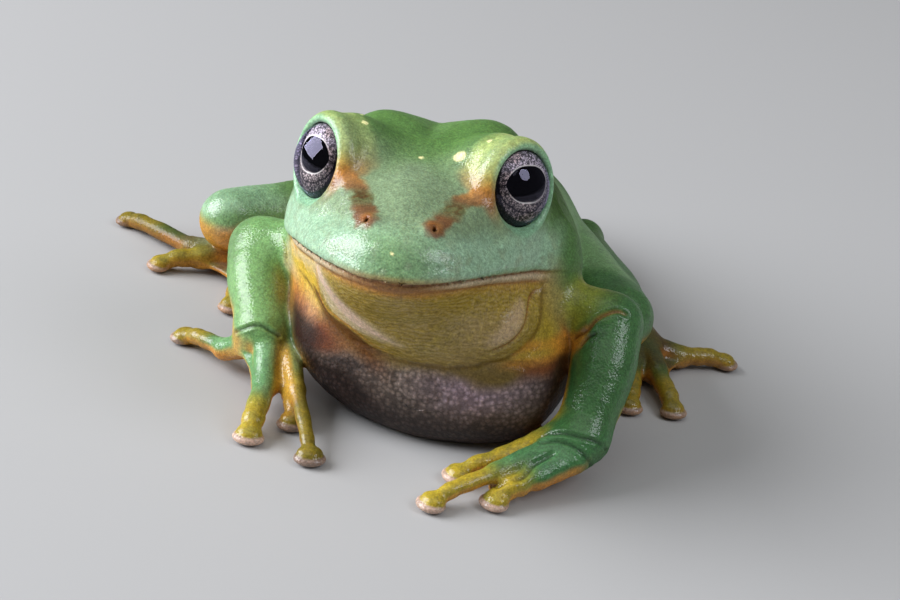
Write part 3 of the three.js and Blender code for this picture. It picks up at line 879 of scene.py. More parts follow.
# Top of the granular skin: its height by x on the chest, and by y behind it
BELLY_FRONT = [
    [-12.0, 6.0], [-8.0, 6.6], [-4.0, 8.3], [1.0, 8.8], [6.0, 9.4], [9.0, 8.6], [12.0, 8.3], [16.0, 9.4],
    [20.0, 9.0],
]
BELLY_REAR = [[-8.0, 7.2], [10.0, 5.0], [42.0, 3.5]]
WRINKLE_SPACING = 0.44
SHARE_SOFTNESS, LEAST_SHARE = 0.45, 0.02
SOLE_FADE = (0.05, 0.6)  # heights between which the relief begins over the floor


def group_shares(rows):
    """How much each group of the body has of each point's skin."""
    share = np.exp(-np.clip(rows - rows.min(0), 0, 6) / SHARE_SOFTNESS)
    share[share < LEAST_SHARE] = 0
    return share / share.sum(0)


def along_path(points, path, soft):
    """1 on a path of the skin and 0 away from it."""
    return ramp(soft, -soft, distance_to_path(points, path[:, :3], path[:, 3]))


def belly_side(points):
    """1 on the granular skin below the chest and flanks."""
    x, y, z = points.T
    front = spline(BELLY_FRONT, x)[:, 0]
    rear = spline(BELLY_REAR, np.maximum(y, BELLY_REAR[0][0]))[:, 0]
    back = ramp(-13.0, -6.0, y)
    level = front * (1 - back) + rear * back
    return ramp(1.0, -0.9, z - level + 0.5 * noise(points, 2.0, 21))


def throat_side(folded):
    """1 on the head's skin below the mouth line."""
    above, _ = mouth_height(folded)
    return ramp(0.1, -0.1, above) * ramp(MOUTH_CORNER_Y + 4, MOUTH_CORNER_Y, folded[:, 1])


def wrinkle_phase(points, folded):
    """Turns of the throat's fine wrinkles, which run along the jaw."""
    above, _ = mouth_height(folded)
    bend = 0.45 * noise(points, 1.8, 22) + 0.26 * noise(points, 0.55, 23)
    return (above + 0.10 * folded[:, 1] + bend) / WRINKLE_SPACING


def skin_relief(points, rows):
    """Height of the skin's granules, wrinkles and creases over the smooth body."""
    share = group_shares(rows)
    folded = mirrored(to_head(points))
    height = share[0] * 0.03 * noise(points, 0.9, 28)
    above, _ = mouth_height(folded)
    throat = share[1] * throat_side(folded) * ramp(-LIP_BAND - 0.3, -LIP_BAND - 0.8, above)
    strength = 0.6 + 0.6 * noise(points, 1.5, 29)
    height += throat * strength * 0.026 * np.sin(2 * math.pi * wrinkle_phase(points, folded))
    smooth = share[1] * (1 - throat_side(folded)) + 0.6 * share[2:].sum(0)
    height += smooth * (0.030 * noise(points, 1.9, 24) + 0.014 * noise(points, 0.55, 25))
    for path, width, depth in GROOVES:
        away = distance_to_path(points, path[:, :3])
        height -= depth * bell(away, width)
        height += 0.4 * depth * bell(away - 2.1 * width, width)
    for path, depth in ((PALE_FOLD_RIGHT, 0.18), (PALE_FOLD_LEFT, 0.12)):
        height += depth * along_path(points, path, 0.8)
    return height


# ---------------------------------------------------------------- colours of the skin
CROWN = [0.094, 0.205, 0.046]
FOREHEAD = [0.248, 0.330, 0.196]
BACK = [0.065, 0.165, 0.040]
NECK = [0.040, 0.080, 0.014]
PALE_GREEN = [0.190, 0.340, 0.140]
# Painted light: the greens of the frog's right arm, paler than the left's
LIT_GREEN = [0.170, 0.340, 0.110]
LIT_OLIVE = [0.300, 0.350, 0.090]
MINT = [0.300, 0.475, 0.300]
TEAL = [0.055, 0.200, 0.060]
LID_MINT = [0.270, 0.520, 0.300]
LID_YELLOW = [0.560, 0.650, 0.210]
YELLOW = [0.420, 0.310, 0.024]
OLIVE = [0.240, 0.200, 0.022]
OLIVE_GREEN = [0.170, 0.215, 0.030]
THROAT = [0.390, 0.275, 0.036]
# The throat's darker tone, also laid as painted shade in creases
THROAT_DARK_AND_SHADE = [0.150, 0.085, 0.008]
CREAM = [0.600, 0.490, 0.310]
TAN = [0.400, 0.300, 0.170]
PINK = [0.700, 0.500, 0.380]
PAD_PINK = [0.400, 0.270, 0.200]
ORANGE = [0.600, 0.250, 0.028]
RUST = [0.190, 0.045, 0.010]
DARK_RUST = [0.120, 0.042, 0.009]
YELLOW_GREEN = [0.260, 0.300, 0.035]
LIP_BROWN = [0.260, 0.105, 0.045]
DARK_BROWN = [0.080, 0.038, 0.008]
CHEST = [0.180, 0.120, 0.030]
BELLY = [0.150, 0.118, 0.105]
# Painted shade for the belly's bottom and sides
BELLY_SHADE = [0.030, 0.019, 0.016]
BELLY_MAUVE = [0.400, 0.290, 0.350]
# Painted shade: the green of the frog's left arm and leg as it looks in shade
SHADED_GREEN = [0.036, 0.128, 0.032]
# Painted shade under the arms, a dark maroon
UNDERARM_SHADE = [0.014, 0.004, 0.003]
BRIGHT_YELLOW = [0.720, 0.470, 0.045]
# Painted light: a brighter orange for the lit underside of the right knee
LIT_KNEE_ORANGE = [0.900, 0.420, 0.080]
SPOT = [0.900, 0.850, 0.400]


class Paint:
    """Layers of colour over points, begun with one colour for count points or with each point's own."""

    def __init__(self, start, count=1):
        self.value = np.tile(np.asarray(start, float), (count, 1))

    def over(self, colour, amount):
        share = np.clip(amount, 0, 1)[:, None]
        self.value = self.value * (1 - share) + np.asarray(colour) * share

    def shade(self, factor):
        self.value = self.value * np.clip(factor, 0.1, 3.0)[:, None]


# In the head's frame: place and radius of each pale spot
SPOTS = [
    ([4.05, -0.48, 2.20], 0.80), ([0.0, -0.71, 1.89], 0.24), ([-6.15, 0.26, 4.48], 0.30),
    ([-6.78, 2.05, 4.93], 0.20), ([6.58, -0.14, 4.35], 0.26), ([-0.1, -14.34, -5.77], 0.16),
    ([12.75, 3.17, -4.91], 0.22),
]
MOUTH_CORNER_PATCH = np.array([14.0, 5.6, -9.2])
# y and z of the line along the flank where the green of the back begins
FLANK_LINE = [[-14.0, 13.5], [-6.0, 12.5], [8.0, 10.0], [30.0, 7.5], [42.0, 5.5]]
ARM_OUTWARDS, LEG_OUTWARDS = np.array([0.62, -0.20, 0.72]), np.array([0.35, 0.28, 0.85])
BRIGHT_SHOULDER = np.array([15.3, -9.5, 16.4])


def lid_paint(paint, folded, is_left, patch, fine):
    """The lids, yellow on top, orange and brown towards the nose and mint all round."""
    depth, off, angle = about_eye(folded)
    rise = np.sin(angle)
    medial = ramp(-0.3, 0.9, rise - 0.7 * np.cos(angle))
    front = ramp(0.2, 0.9, -np.cos(angle)) * ramp(0.75, -0.1, rise)
    ring = off + 0.15 * fine + 0.2 * patch
    near = ramp(-1.8, -0.6, depth)
    paint.over(LID_YELLOW, near * ramp(5.8, 4.7, ring) * medial * np.where(is_left, 0.75, 0.45))
    paint.over(YELLOW, near * ramp(5.6, 4.5, ring) * front * ramp(-0.7, 0.1, rise) * 0.75)
    paint.over(ORANGE, near * ramp(6.5, 5.1, ring) * front * bell(rise + 0.02, 0.34) * 0.75)
    paint.over(LIP_BROWN, near * ramp(6.6, 5.2, ring) * front * bell(rise + 0.28, 0.26) * 0.85)
    paint.over(LID_MINT, near * ramp(4.9, 4.35, ring) * (0.85 - 0.6 * front))


def streak_paint(paint, folded, patch, fine, tiny):
    """The brown streak from the eye to the nostril, and the nostril."""
    along = ramp(-3.4, -10.6, folded[:, 1])
    ridge = ramp(1.45, 0.60, distance_to_path(folded, STREAK[:, :3]) + 0.40 * fine + 0.15 * patch)
    paint.over(ORANGE, ridge * ramp(0.35, 0.08, along) * 0.75)
    paint.over(LIP_BROWN, ridge * bell(along - 0.22, 0.18) * 0.8)
    paint.over(RUST, ridge * ramp(0.62, 0.90, along) * 0.85)
    paint.over(OLIVE_GREEN, ridge * bell(along - 0.55, 0.22) * 0.45)
    flecks = 0.60 + 0.38 * ramp(-0.5, 0.2, tiny + 0.5 * fine)
    paint.over(DARK_BROWN, ridge * bell(along - 0.52, 0.36) * flecks)
    nostril = away_from(folded, NOSTRIL + [0.35, 0.2, 0.2])
    paint.over(RUST, 0.85 * ramp(0.95, 0.35, nostril + 0.3 * fine))
    paint.over(ORANGE, 0.20 * bell(nostril - 0.7, 0.3))
    paint.over(DARK_BROWN, ramp(0.44, 0.22, away_from(folded, NOSTRIL_DARK)))


def throat_paint(paint, points, folded, across, patch, fine):
    """The throat with its wrinkles, the lip's band, and the folds at their sides."""
    above, seen = mouth_height(folded)
    lower = throat_side(folded)
    centre = ramp(7.5, 2.0, folded[:, 0])
    crest = np.sin(2 * math.pi * wrinkle_phase(points, folded))
    paint.over(THROAT, lower)
    paint.over(OLIVE, lower * ramp(-0.3, 0.9, patch) * ramp(-2, -6, above) * 0.5)
    # Painted shade in the wrinkles' troughs and painted light on their crests
    paint.over(THROAT_DARK_AND_SHADE, lower * ramp(0.0, -1.0, crest) * 0.50)
    paint.over(TAN, lower * ramp(0.2, 1.0, crest) * 0.40)
    paint.over(TAN, lower * bell(across - 8.0, 4.0) * ramp(-3.0, -5.0, above) * 0.35)
    right_part = ramp(-9.0, -4.0, across) * ramp(-2.5, -5.5, across)
    paint.over(THROAT_DARK_AND_SHADE, lower * 0.4 * right_part * ramp(-0.1, 0.6, fine))
    band = lower * ramp(-LIP_BAND - 0.12, -LIP_BAND + 0.10, above) * seen
    paint.over(TAN, band * (1 - centre))
    paint.over(CREAM, band * (1 - centre) * bell(above + 0.45 * LIP_BAND, 0.22) * 0.75)
    paint.over(LIP_BROWN, band * centre * 0.7)
    paint.over(LIP_BROWN, 0.8 * seen * lower * bell(above + LIP_BAND + 0.12, 0.16 + 0.25 * centre))
    paint.over(ORANGE, 0.5 * seen * lower * bell(above + LIP_BAND + 0.5, 0.5) * (0.4 + 0.6 * centre))
    paint.over(LIP_BROWN, 0.9 * seen * bell(above - 0.06, 0.20 + 0.08 * centre))
    paint.over(ORANGE, 0.40 * seen * bell(above - 0.50, 0.35) * centre)
    beside = lower * ramp(-8.2, -9.0, across) * ramp(-0.9, -1.5, above)
    paint.over(BRIGHT_YELLOW, beside * 0.85)
    paint.over(CREAM, beside * ramp(-3.4, -1.4, above + 0.6 * fine) * 0.7)
    corner = np.linalg.norm((folded - MOUTH_CORNER_PATCH) * [0.6, 1, 1.2], axis=1)
    paint.over(ORANGE, 0.75 * ramp(2.2, 0.8, corner + 0.4 * fine) * ramp(0.2, -0.2, above))


def head_paint(points, _):
    """Green above, darker behind the ears, and pale mint on the snout and lip, under the head's markings."""
    local = to_head(points)
    folded = mirrored(local)
    side, y, z = folded.T
    patch = noise(points, 2.4, 3)
    fine = noise(points, 0.7, 4)
    tiny = noise(points, 0.34, 31)
    paint = Paint(CROWN, len(points))
    paint.over(FOREHEAD, ramp(3.0, -5.0, y + 1.2 * patch) * 0.75)
    paint.over(NECK, ramp(3.2, 7.5, y + 0.6 * patch) * ramp(3.5, -1.0, z) * 0.9)
    paint.over(MINT, ramp(-2.6, -5.2, z + 0.6 * patch + 0.25 * fine) * ramp(9.0, 3.5, y) * 0.95)
    paint.over(PALE_GREEN, 0.85 * ramp(6.0, 0.5, side + patch) * ramp(-3.0, -5.0, z) * ramp(-6, -11, y))
    paint.over(FOREHEAD, 0.6 * ramp(0.1, 0.8, fine + 0.5 * patch) * ramp(-3, -6, z) * ramp(9.0, 3.5, y))
    lid_paint(paint, folded, local[:, 0] > 0, patch, fine)
    streak_paint(paint, folded, patch, fine, tiny)
    throat_paint(paint, points, folded, local[:, 0], patch, fine)
    for place, radius in SPOTS:
        paint.over(SPOT, ramp(radius * 1.25, radius * 0.95, away_from(local, place)))
    paint.shade(1 + 0.16 * tiny + 0.06 * patch)
    return paint.value


def trunk_paint(points, _):
    """The chest's rusty shades and bright sides, the granular belly, the orange flanks and the green back."""
    x, y, z = points.T
    patch = noise(points, 3.0, 5)
    fine = noise(points, 0.6, 9)
    front = ramp(-5.0, -11.0, y)
    paint = Paint(CHEST, len(points))
    # Chest and armpits
    streak = noise(points * [1.6, 1.0, 0.35], 0.7, 26)
    patch_right = ramp(-7.2, -8.6, x) * ramp(2.0, -2.0, y)
    bright = patch_right * ramp(9.8, 11.2, z + 0.4 * streak)
    paint.over(BRIGHT_YELLOW, bright)
    paint.over(ORANGE, bright * ramp(0.15, 0.7, streak) * 0.6)
    paint.over(CREAM, bright * ramp(13.2, 14.6, z + 0.5 * streak) * 0.7)
    paint.over(ORANGE, patch_right * bell(z - 10.5 + 0.4 * streak, 0.7) * 0.9)
    paint.over(LIP_BROWN, front * ramp(3.0, -3.0, x) * ramp(13.0, 11.0, z + 0.4 * streak) * 0.55)
    paint.over(RUST, front * ramp(-2.5, -6.5, x) * ramp(11.2, 9.6, z + 0.4 * streak) * 0.90)
    # Painted shade under the right arm
    paint.over(UNDERARM_SHADE, front * ramp(-3.0, -7.0, x) * ramp(10.4, 8.6, z + 0.4 * streak) * 0.45)
    left_side = front * ramp(10.5, 13.5, x)
    paint.over(YELLOW, left_side * ramp(10.6, 11.6, z) * 0.75)
    paint.over(ORANGE, left_side * bell(z - 10.9, 0.6) * 0.6)
    paint.over(RUST, front * ramp(13.0, 15.0, x) * ramp(11.4, 10.0, z) * 0.85)
    # Belly
    belly = belly_side(points)
    # Painted shade: the belly darker towards its sides and, through low, near the floor
    shaded_sides = ramp(6.0, 11.5, np.abs(x - 7.5)) * front
    low = ramp(6.8, 2.2, z)
    paint.over(TAN, (1 - belly) * ramp(-0.3, 0.8, patch) * 0.3)
    paint.over(TAN, belly * ramp(3.6, 5.5, z) * 0.3)
    paint.over(BELLY, belly * 0.85)
    paint.over(BELLY_MAUVE, belly * 0.75 * bell(x - 10.0, 4.6) * bell(z - 7.8, 3.0) * front)
    paint.over(BELLY_SHADE, belly * (0.85 * shaded_sides + 0.9 * low * front))
    # Painted shade under both arms
    paint.over(UNDERARM_SHADE, front * ramp(-6.0, -8.6, x) * ramp(10.2, 8.8, z) * 0.9)
    paint.over(UNDERARM_SHADE, front * ramp(15.8, 17.2, x) * ramp(11.4, 10.0, z) * 0.85)
    # Flanks and back
    rise = z - spline(FLANK_LINE, y)[:, 0] + 0.6 * patch
    flank = ramp(-12.0, -7.0, y)
    paint.over(ORANGE, flank * (1 - belly) * 0.55)
    paint.over(CREAM, flank * ramp(-2.6, -0.8, rise) * 0.65)
    paint.over(BACK, flank * ramp(-0.9, 0.5, rise))
    paint.over(CROWN, flank * ramp(4.0, 9.0, rise) * 0.6)
    # Painted light: the left rear flank paler above the flank line
    paint.over(PALE_GREEN, ramp(0.0, 8.0, y) * ramp(7.0, 12.0, x) * ramp(0.0, 2.0, rise) * 0.8)
    paint.shade(1 + 0.10 * fine + 0.05 * patch)
    return paint.value


def digit_shares(points, digits):
    """How much each digit has of each point, and how far that is back from its tip and on from its root."""
    rows = []
    for tip, root, _, _ in digits:
        flat = points[:, :2] - root[:2]
        run = np.array(tip, float) - root[:2]
        length = np.hypot(*run)
        along = flat @ run / length
        across = np.abs(flat[:, 0] * run[1] - flat[:, 1] * run[0]) / length
        score = across + np.maximum(-along, 0) + 2 * np.maximum(along - length, 0)
        rows.append([score, length - along, along])
    score, back, past = np.array(rows).transpose(1, 0, 2)
    share = np.exp(-np.clip(score - score.min(0), 0, 8) / 0.35)
    return share / share.sum(0), back, past


def paw_paint(paint, points, normals, digits, form, starts, patch, fine):
    """Yellow digits with orange edges and pink pads. starts says how far back each digit is yellow."""
    shares, back, past = digit_shares(points, digits)
    up = normals[:, 2]
    low = ramp(8.0, 6.0, points[:, 2])
    under = ramp(0.5, 0.0, up + 0.15 * patch) * ramp(3.0, 1.8, points[:, 2])
    paint.over(ORANGE, low * (shares * ramp(-1.5, 1.0, past)).sum(0) * under * 0.85)
    for share, start, behind, beyond in zip(shares, starts, back, past):
        digit = low * share * ramp(-1.5, 1.0, beyond)
        paint.over(OLIVE_GREEN, digit * ramp(start + 1.4, start - 1.4, behind + 0.6 * patch) * 0.9)
        yellow = digit * ramp(start + 0.4, start - 2.6, behind + 0.6 * patch)
        paint.over(YELLOW, yellow)
        paint.over(OLIVE, yellow * ramp(-0.1, 0.7, fine + 0.6 * patch) * ramp(-0.1, 0.4, up) * 0.75)
        paint.over(ORANGE, digit * ramp(0.35, -0.1, up) * 0.7)
    first = low * shares[0] * ramp(0.5, 2.5, past[0])
    paint.over(ORANGE, first * 0.55)
    paint.over(RUST, first * ramp(0.2, -0.3, up) * 0.3)
    for entry in digits:
        _, pad = digit_forms(entry, form)
        gap = pad_places(points, pad)
        outside = egg(gap - DOME_SHIFT, pad[2] * DOME_SHARE)
        close = ramp(2.3, 1.9, np.linalg.norm(gap, axis=1))
        close = close * ramp(-1.3, -0.7, gap[:, 0]) * ramp(0.75, 0.50, gap[:, 2])
        paint.over(PAD_PINK, close * ramp(0.02, 0.16, outside))
        paint.over(PINK, close * ramp(0.14, 0.30, outside) * 0.4)


def arm_paint(which):
    """A function that colours the arm. The left one is deep green, as painted shade, and the right one pale,
    as painted light.
    """
    limb, side = ARMS[which], ARMS[which]["side"]
    shoulder, elbow, wrist = (np.array(limb[joint], float) for joint in ("shoulder", "elbow", "wrist"))

    def paint_arm(points, normals):
        x, _, z = points.T
        patch, fine = noise(points, 2.5, 7), noise(points, 0.5, 8)
        outwards = normals @ (ARM_OUTWARDS * [side, 1, 1]) + 0.12 * patch
        paint = Paint(ORANGE, len(points))
        # The left arm is painted darker green as painted shade, and the right one in paler greens as painted
        # light
        if side > 0:
            paint.over(YELLOW, ramp(-0.85, -0.45, outwards) * 0.6)
            paint.over(SHADED_GREEN, ramp(-0.50, -0.15, outwards))
            paint.over(PALE_GREEN, ramp(0.10, 0.8, outwards) * 0.12)
        else:
            paint.over(LIT_OLIVE, ramp(-0.45, -0.10, outwards))
            paint.over(LIT_GREEN, ramp(-0.05, 0.40, outwards))
        to_upper = distance_to_path(points, np.array([shoulder, elbow]))
        to_fore = distance_to_path(points, np.array([elbow, wrist]))
        above = (points - shoulder) @ (elbow - shoulder) / ((elbow - shoulder) @ (elbow - shoulder))
        root = ramp(-0.2, 0.8, to_fore - to_upper) * ramp(0.95, 0.65, above + 0.05 * patch)
        if side > 0:
            paint.over(YELLOW_GREEN, ramp(-0.4, 0.6, to_fore - to_upper) * ramp(1.15, 0.90, above) * 0.9)
            paint.over(YELLOW, root * ramp(0.85, 0.35, above + 0.08 * patch) * 0.5)
            paint.over(YELLOW, root * ramp(15.5, 12.0, z + patch) * 0.5)
            paint.over(BRIGHT_YELLOW, 0.7 * ramp(1.2, 0.3, away_from(points, BRIGHT_SHOULDER)))
        else:
            root = root * ramp(-15.2, -14.2, x)
            paint.over(CREAM, root * 0.6)
            paint.over(YELLOW, root * ramp(0.0, 0.6, patch) * 0.6)
            paint.over(PINK, root * ramp(11.5, 9.5, z) * 0.5)
        hand = ramp(7.0, 4.8, z)
        paint.over(TEAL, hand * ramp(-0.2, 0.4, normals[:, 2]) * 0.6)
        paint.over(MINT, hand * ramp(0.5, 1.0, normals[:, 2] + 0.3 * patch) * (0.10 if side > 0 else 0.20))
        if side > 0:
            inner = ramp(-0.1, -0.7, outwards) * ramp(11.0, 8.0, z)
        else:
            inner = ramp(-0.32, -0.58, outwards) * ramp(13.5, 11.5, z)
        paint.over(ORANGE, inner * 0.9)
        paint.over(RUST, inner * bell(z - 6.0, 1.6) * 0.4)
        paw_paint(paint, points, normals, limb["digits"], HAND, limb["yellow_from"], patch, fine)
        if side > 0:
            paint.over(ORANGE, 0.75 * along_path(points, ELBOW_LEFT, 0.25))
        else:
            # Painted shade: darker where x is over -9, at the first digits, and under -19, at the fourth
            # digit and the elbow's side
            paint.shade(1 - 0.5 * ramp(-9.0, -7.5, x) - 0.3 * ramp(-19.0, -21.0, x))
        paint.shade(1 + 0.14 * fine + 0.06 * patch)
        return paint.value

    return paint_arm


def leg_paint(which):
    """A function that colours the leg. The left one is deep green, as painted shade, with a paler top as
    painted light, and the right one has an orange knee painted bright, as painted light.
    """
    limb, side = LEGS[which], LEGS[which]["side"]
    knee = np.array(limb["knee"], float)

    def paint_leg(points, normals):
        x, y, z = points.T
        patch, fine = noise(points, 2.5, 7), noise(points, 0.6, 8)
        outwards = normals @ (LEG_OUTWARDS * [side, 1, 1]) + 0.10 * patch
        at_knee = ramp(9.0, 4.0, away_from(points, knee))
        drop = z - knee[2] + 0.35 * patch
        paint = Paint(ORANGE, len(points))
        # Painted light: the right knee's underside in a brighter orange
        if side < 0:
            paint.over(LIT_KNEE_ORANGE, at_knee * ramp(-4.2, -2.0, drop))
        paint.over(RUST, ramp(-0.4, -0.9, outwards) * ramp(-2.0, -3.6, drop) * 0.6)
        paint.over(CREAM, ramp(-0.55, -0.25, outwards) * ramp(-2.2, -0.6, drop) * 0.85)
        paint.over(PALE_GREEN, ramp(-0.40, -0.05, outwards) * ramp(-1.6, 0.2, drop))
        paint.over(OLIVE_GREEN, ramp(-0.1, 0.3, outwards) * (1 - at_knee) * 0.6)
        if side < 0:
            paint.over(MINT, ramp(0.0, 0.5, outwards) * at_knee * 0.7)
        paint.over(BACK, ramp(0.35, 0.8, outwards) * (0.75 - 0.45 * at_knee))
        # The left leg is painted darker green as painted shade, and the top of its thigh paler as painted
        # light
        if side > 0:
            paint.over(SHADED_GREEN, ramp(-0.3, 0.0, outwards) * 0.75)
            paint.over(PALE_GREEN, ramp(9.8, 11.5, z) * ramp(8.0, 11.0, y) * 0.9)
        low = ramp(4.6, 3.4, z)
        paint.over(ORANGE, 0.8 * low * ramp(0.75, 0.35, normals[:, 2] + 0.2 * patch))
        near_ball = ramp(9.0, 5.0, away_from(points, limb["ball"]))
        paint.over(RUST, 0.7 * low * near_ball * ramp(0.6, -0.4, patch))
        paw_paint(paint, points, normals, limb["digits"], FOOT, FOOT_YELLOW_FROM, patch, fine)
        paint.over(ORANGE, 0.35 * low * ramp(0.8, 0.3, normals[:, 2]))
        # Painted shade: the feet darker near the floor, the left one more, and the right foot's fifth toe
        # darker still
        if side > 0:
            paint.shade(1 - 0.35 * low)
        else:
            paint.shade(1 - 0.25 * low)
            paint.shade(1 - 0.4 * low * ramp(-27.5, -30.0, x) * ramp(9.5, 11.0, y))
        paint.shade(1 + 0.12 * fine + 0.06 * patch)
        return paint.value

    return paint_leg


# Colours laid along paths of the skin: colour, path, share and softness
PAINTED_PATHS = [
    (ORANGE, FAN_EDGE_RIGHT, 0.75, 0.25), (PINK, PALE_FOLD_LEFT, 0.35, 0.7),
    (RUST, THROAT_EDGE_LEFT, 0.75, 0.15), (ORANGE, ARM_ROOT_LEFT, 0.75, 0.3),
    (ORANGE, ARMPIT_LEFT, 0.75, 0.5), (DARK_BROWN, ELBOW_LEFT, 0.7, 0.08),
    (OLIVE, ELBOW_RIGHT, 0.7, 0.3),
]


def fold_paint(paint, points):
    """The pale folds at the throat's right, the lines of the other folds, and the creases' shade."""
    x, y, z = points.T
    edge = z - spline(FAN_EDGE_HEIGHT, np.clip(x, -8.0, 4.0))[:, 0] + 0.25 * noise(points, 1.2, 35)
    band = ramp(0.2, -0.5, edge) * ramp(-4.2, -2.0, edge) * ramp(2.5, -2.0, x) * ramp(-9.0, -7.8, x)
    paint.over(DARK_RUST, 0.9 * band * ramp(-13.0, -15.5, y))
    stripes = noise(points * [1, 1, 0.3], 0.35, 33)
    paint.over(CREAM, (0.68 + 0.25 * stripes) * along_path(points, PALE_FAN_RIGHT, 0.5))
    paint.over(CREAM, 0.80 * along_path(points, PALE_FOLD_RIGHT, 0.9))
    paint.over(PINK, (0.80 + 0.15 * stripes) * along_path(points, PALE_FOLD_RIGHT - [0, 0, 0, 0.3], 0.4))
    for colour, path, share, soft in PAINTED_PATHS:
        paint.over(colour, share * along_path(points, path, soft))
    for crease in WRIST_CREASES + [METACARPAL_GROOVE]:
        paint.shade(1 - 0.6 * bell(distance_to_path(points, crease[:, :3]), 0.17))


def skin_paint(points, normals, rows):
    """Each vertex's colour: its group's, blended where groups meet, and the folds over them."""
    painters = [trunk_paint, head_paint]
    painters += [arm_paint(which) for which in ARMS] + [leg_paint(which) for which in LEGS]
    total = np.zeros((len(points), 3))
    for weight, painter in zip(group_shares(rows), painters):
        used = weight > 0
        total[used] += weight[used, None] * painter(points[used], normals[used])
    paint = Paint(total)
    _, y, z = points.T
    trunk, head, *arms, _, _ = rows
    # Painted shade in the crease under the jaw, where the head meets the trunk
    under_jaw = np.abs(trunk - head) + np.maximum(trunk - 1.0, 0)
    paint.over(THROAT_DARK_AND_SHADE, 0.85 * ramp(-9.0, -12.0, y) * bell(under_jaw, 0.30))
    for arm in arms:
        meeting = np.abs(trunk - arm) + np.maximum(trunk, 0)
        height = ramp(16.0, 12.0, z) * ramp(6.5, 8.5, z)
        paint.over(RUST, 0.7 * bell(meeting, 0.8) * height * ramp(4, -2, y))
    fold_paint(paint, points)
    return paint.value


# ---------------------------------------------------------------- meshes and materials
def new_mesh(name, points, faces, smooth=True):
    data = bpy.data.meshes.new(name)
    data.from_pydata((points * MM).tolist(), [], faces.tolist() if hasattr(faces, "tolist") else faces)
    data.polygons.foreach_set("use_smooth", np.full(len(data.polygons), smooth))
    thing = bpy.data.objects.new(name, data)
    bpy.context.collection.objects.link(thing)
    return thing


def add_colours(thing, name, colours):
    layer = thing.data.color_attributes.new(name, "FLOAT_COLOR", "POINT")
    layer.data.foreach_set("color", np.column_stack([colours, np.ones(len(colours))]).ravel())


def add_numbers(thing, name, values):
    layer = thing.data.attributes.new(name, "FLOAT", "POINT")
    layer.data.foreach_set("value", np.asarray(values, float))


class Nodes:
    """Short names for building a material's nodes. ended_by gives the finished material."""

    def __init__(self, name):
        self.material = bpy.data.materials.new(name)
        self.material.use_nodes = True
        self.tree = self.material.node_tree
        self.tree.nodes.clear()
        self.out = self.tree.nodes.new("ShaderNodeOutputMaterial")

    def add(self, kind, inputs=(), **settings):
        node = self.tree.nodes.new("ShaderNode" + kind)
        for key, value in settings.items():
            setattr(node, key, value)
        for key, value in dict(inputs).items():
            if isinstance(value, bpy.types.NodeSocket):
                self.tree.links.new(value, node.inputs[key])
            else:
                node.inputs[key].default_value = value
        return node

    def attribute(self, name, output="Fac"):
        return self.add("Attribute", attribute_name=name).outputs[output]

    def math(self, operation, a, b):
        return self.add("Math", {0: a, 1: b}, operation=operation).outputs[0]

    def times(self, a, b):
        return self.math("MULTIPLY", a, b)

    def remap(self, value, low, high, new_low, new_high):
        inputs = {0: value, 1: low, 2: high, 3: new_low, 4: new_high}
        return self.add("MapRange", inputs).outputs[0]

    def ended_by(self, shader):
        self.tree.links.new(shader.outputs[0], self.out.inputs[0])
        return self.material


def skin_material():
    """Moist skin: fine pigment, the belly's granules, and a grain that breaks up its shine."""
    n = Nodes("frog_skin")
    place = n.add("TexCoord").outputs["Object"]
    tint, granular, wet = n.attribute("tint", "Color"), n.attribute("granular"), n.attribute("wet")
    fine = {"Vector": place, "Scale": 5200.0, "Detail": 2.0, "Roughness": 0.6}
    grain = n.add("TexNoise", fine).outputs[0]
    mottle = n.add("TexNoise", {"Vector": place, "Scale": 2300.0, "Detail": 2.0}).outputs[0]
    cells = n.add("TexVoronoi", {"Vector": place, "Scale": 3900.0}).outputs["Distance"]
    coarse = {"Vector": place, "Scale": 1800.0, "Randomness": 0.75}
    crown = n.remap(n.add("TexVoronoi", coarse).outputs["Distance"], 0.08, 0.62, 1.0, 0.0)
    shade = n.times(n.remap(grain, 0.3, 0.7, 0.72, 1.26), n.remap(mottle, 0.3, 0.7, 0.84, 1.14))
    # Painted light on the granules' crowns and painted shade in the furrows between them
    contrast = n.math("SUBTRACT", n.times(crown, 0.95), 0.38)
    granule_light_and_shade = n.math("ADD", n.times(granular, contrast), 1.0)
    colour = n.add("VectorMath", {0: tint, 1: n.times(shade, granule_light_and_shade)}, operation="MULTIPLY").outputs[0]
    dome = n.times(n.math("SUBTRACT", 0.7, cells), 0.8)
    height = n.math("ADD", n.times(grain, 0.7), dome)
    height = n.math("ADD", height, n.times(n.times(granular, crown), 1.2))
    bump = n.add("Bump", {"Strength": 0.60, "Distance": 0.00006, "Height": height}).outputs[0]
    edge_on = n.add("LayerWeight", {"Blend": 0.5}).outputs["Facing"]
    coat = n.times(wet, n.remap(edge_on, 0.45, 0.85, 1.0, 0.15))
    return n.ended_by(n.add("BsdfPrincipled", {
        "Base Color": colour, "Roughness": 0.55, "Specular IOR Level": 0.15, "Normal": bump,
        "Coat Weight": coat, "Coat Roughness": 0.05, "Coat IOR": 1.42, "Coat Normal": bump,
        "Subsurface Weight": 0.14, "Subsurface Radius": (1.0, 0.5, 0.25), "Subsurface Scale": 0.0007,
    }))


def wetness(points, share):
    """How thick the coat of moisture is: least on the neck, flanks and belly, and none in the nostrils."""
    folded = mirrored(to_head(points))
    _, y, z = folded.T
    trunk, head, *_, right_leg = share
    dry = np.maximum.reduce([
        head * ramp(3.5, 7.5, y) * ramp(4.0, 1.0, z), head * throat_side(folded) * 0.55,
        head * ramp(0.8, 0.4, away_from(folded, NOSTRIL_DARK)), trunk * 0.8,
        right_leg * ramp(5.0, 3.5, points[:, 2]) * 0.6,
    ])
    return 0.9 * (1 - 0.9 * dry)


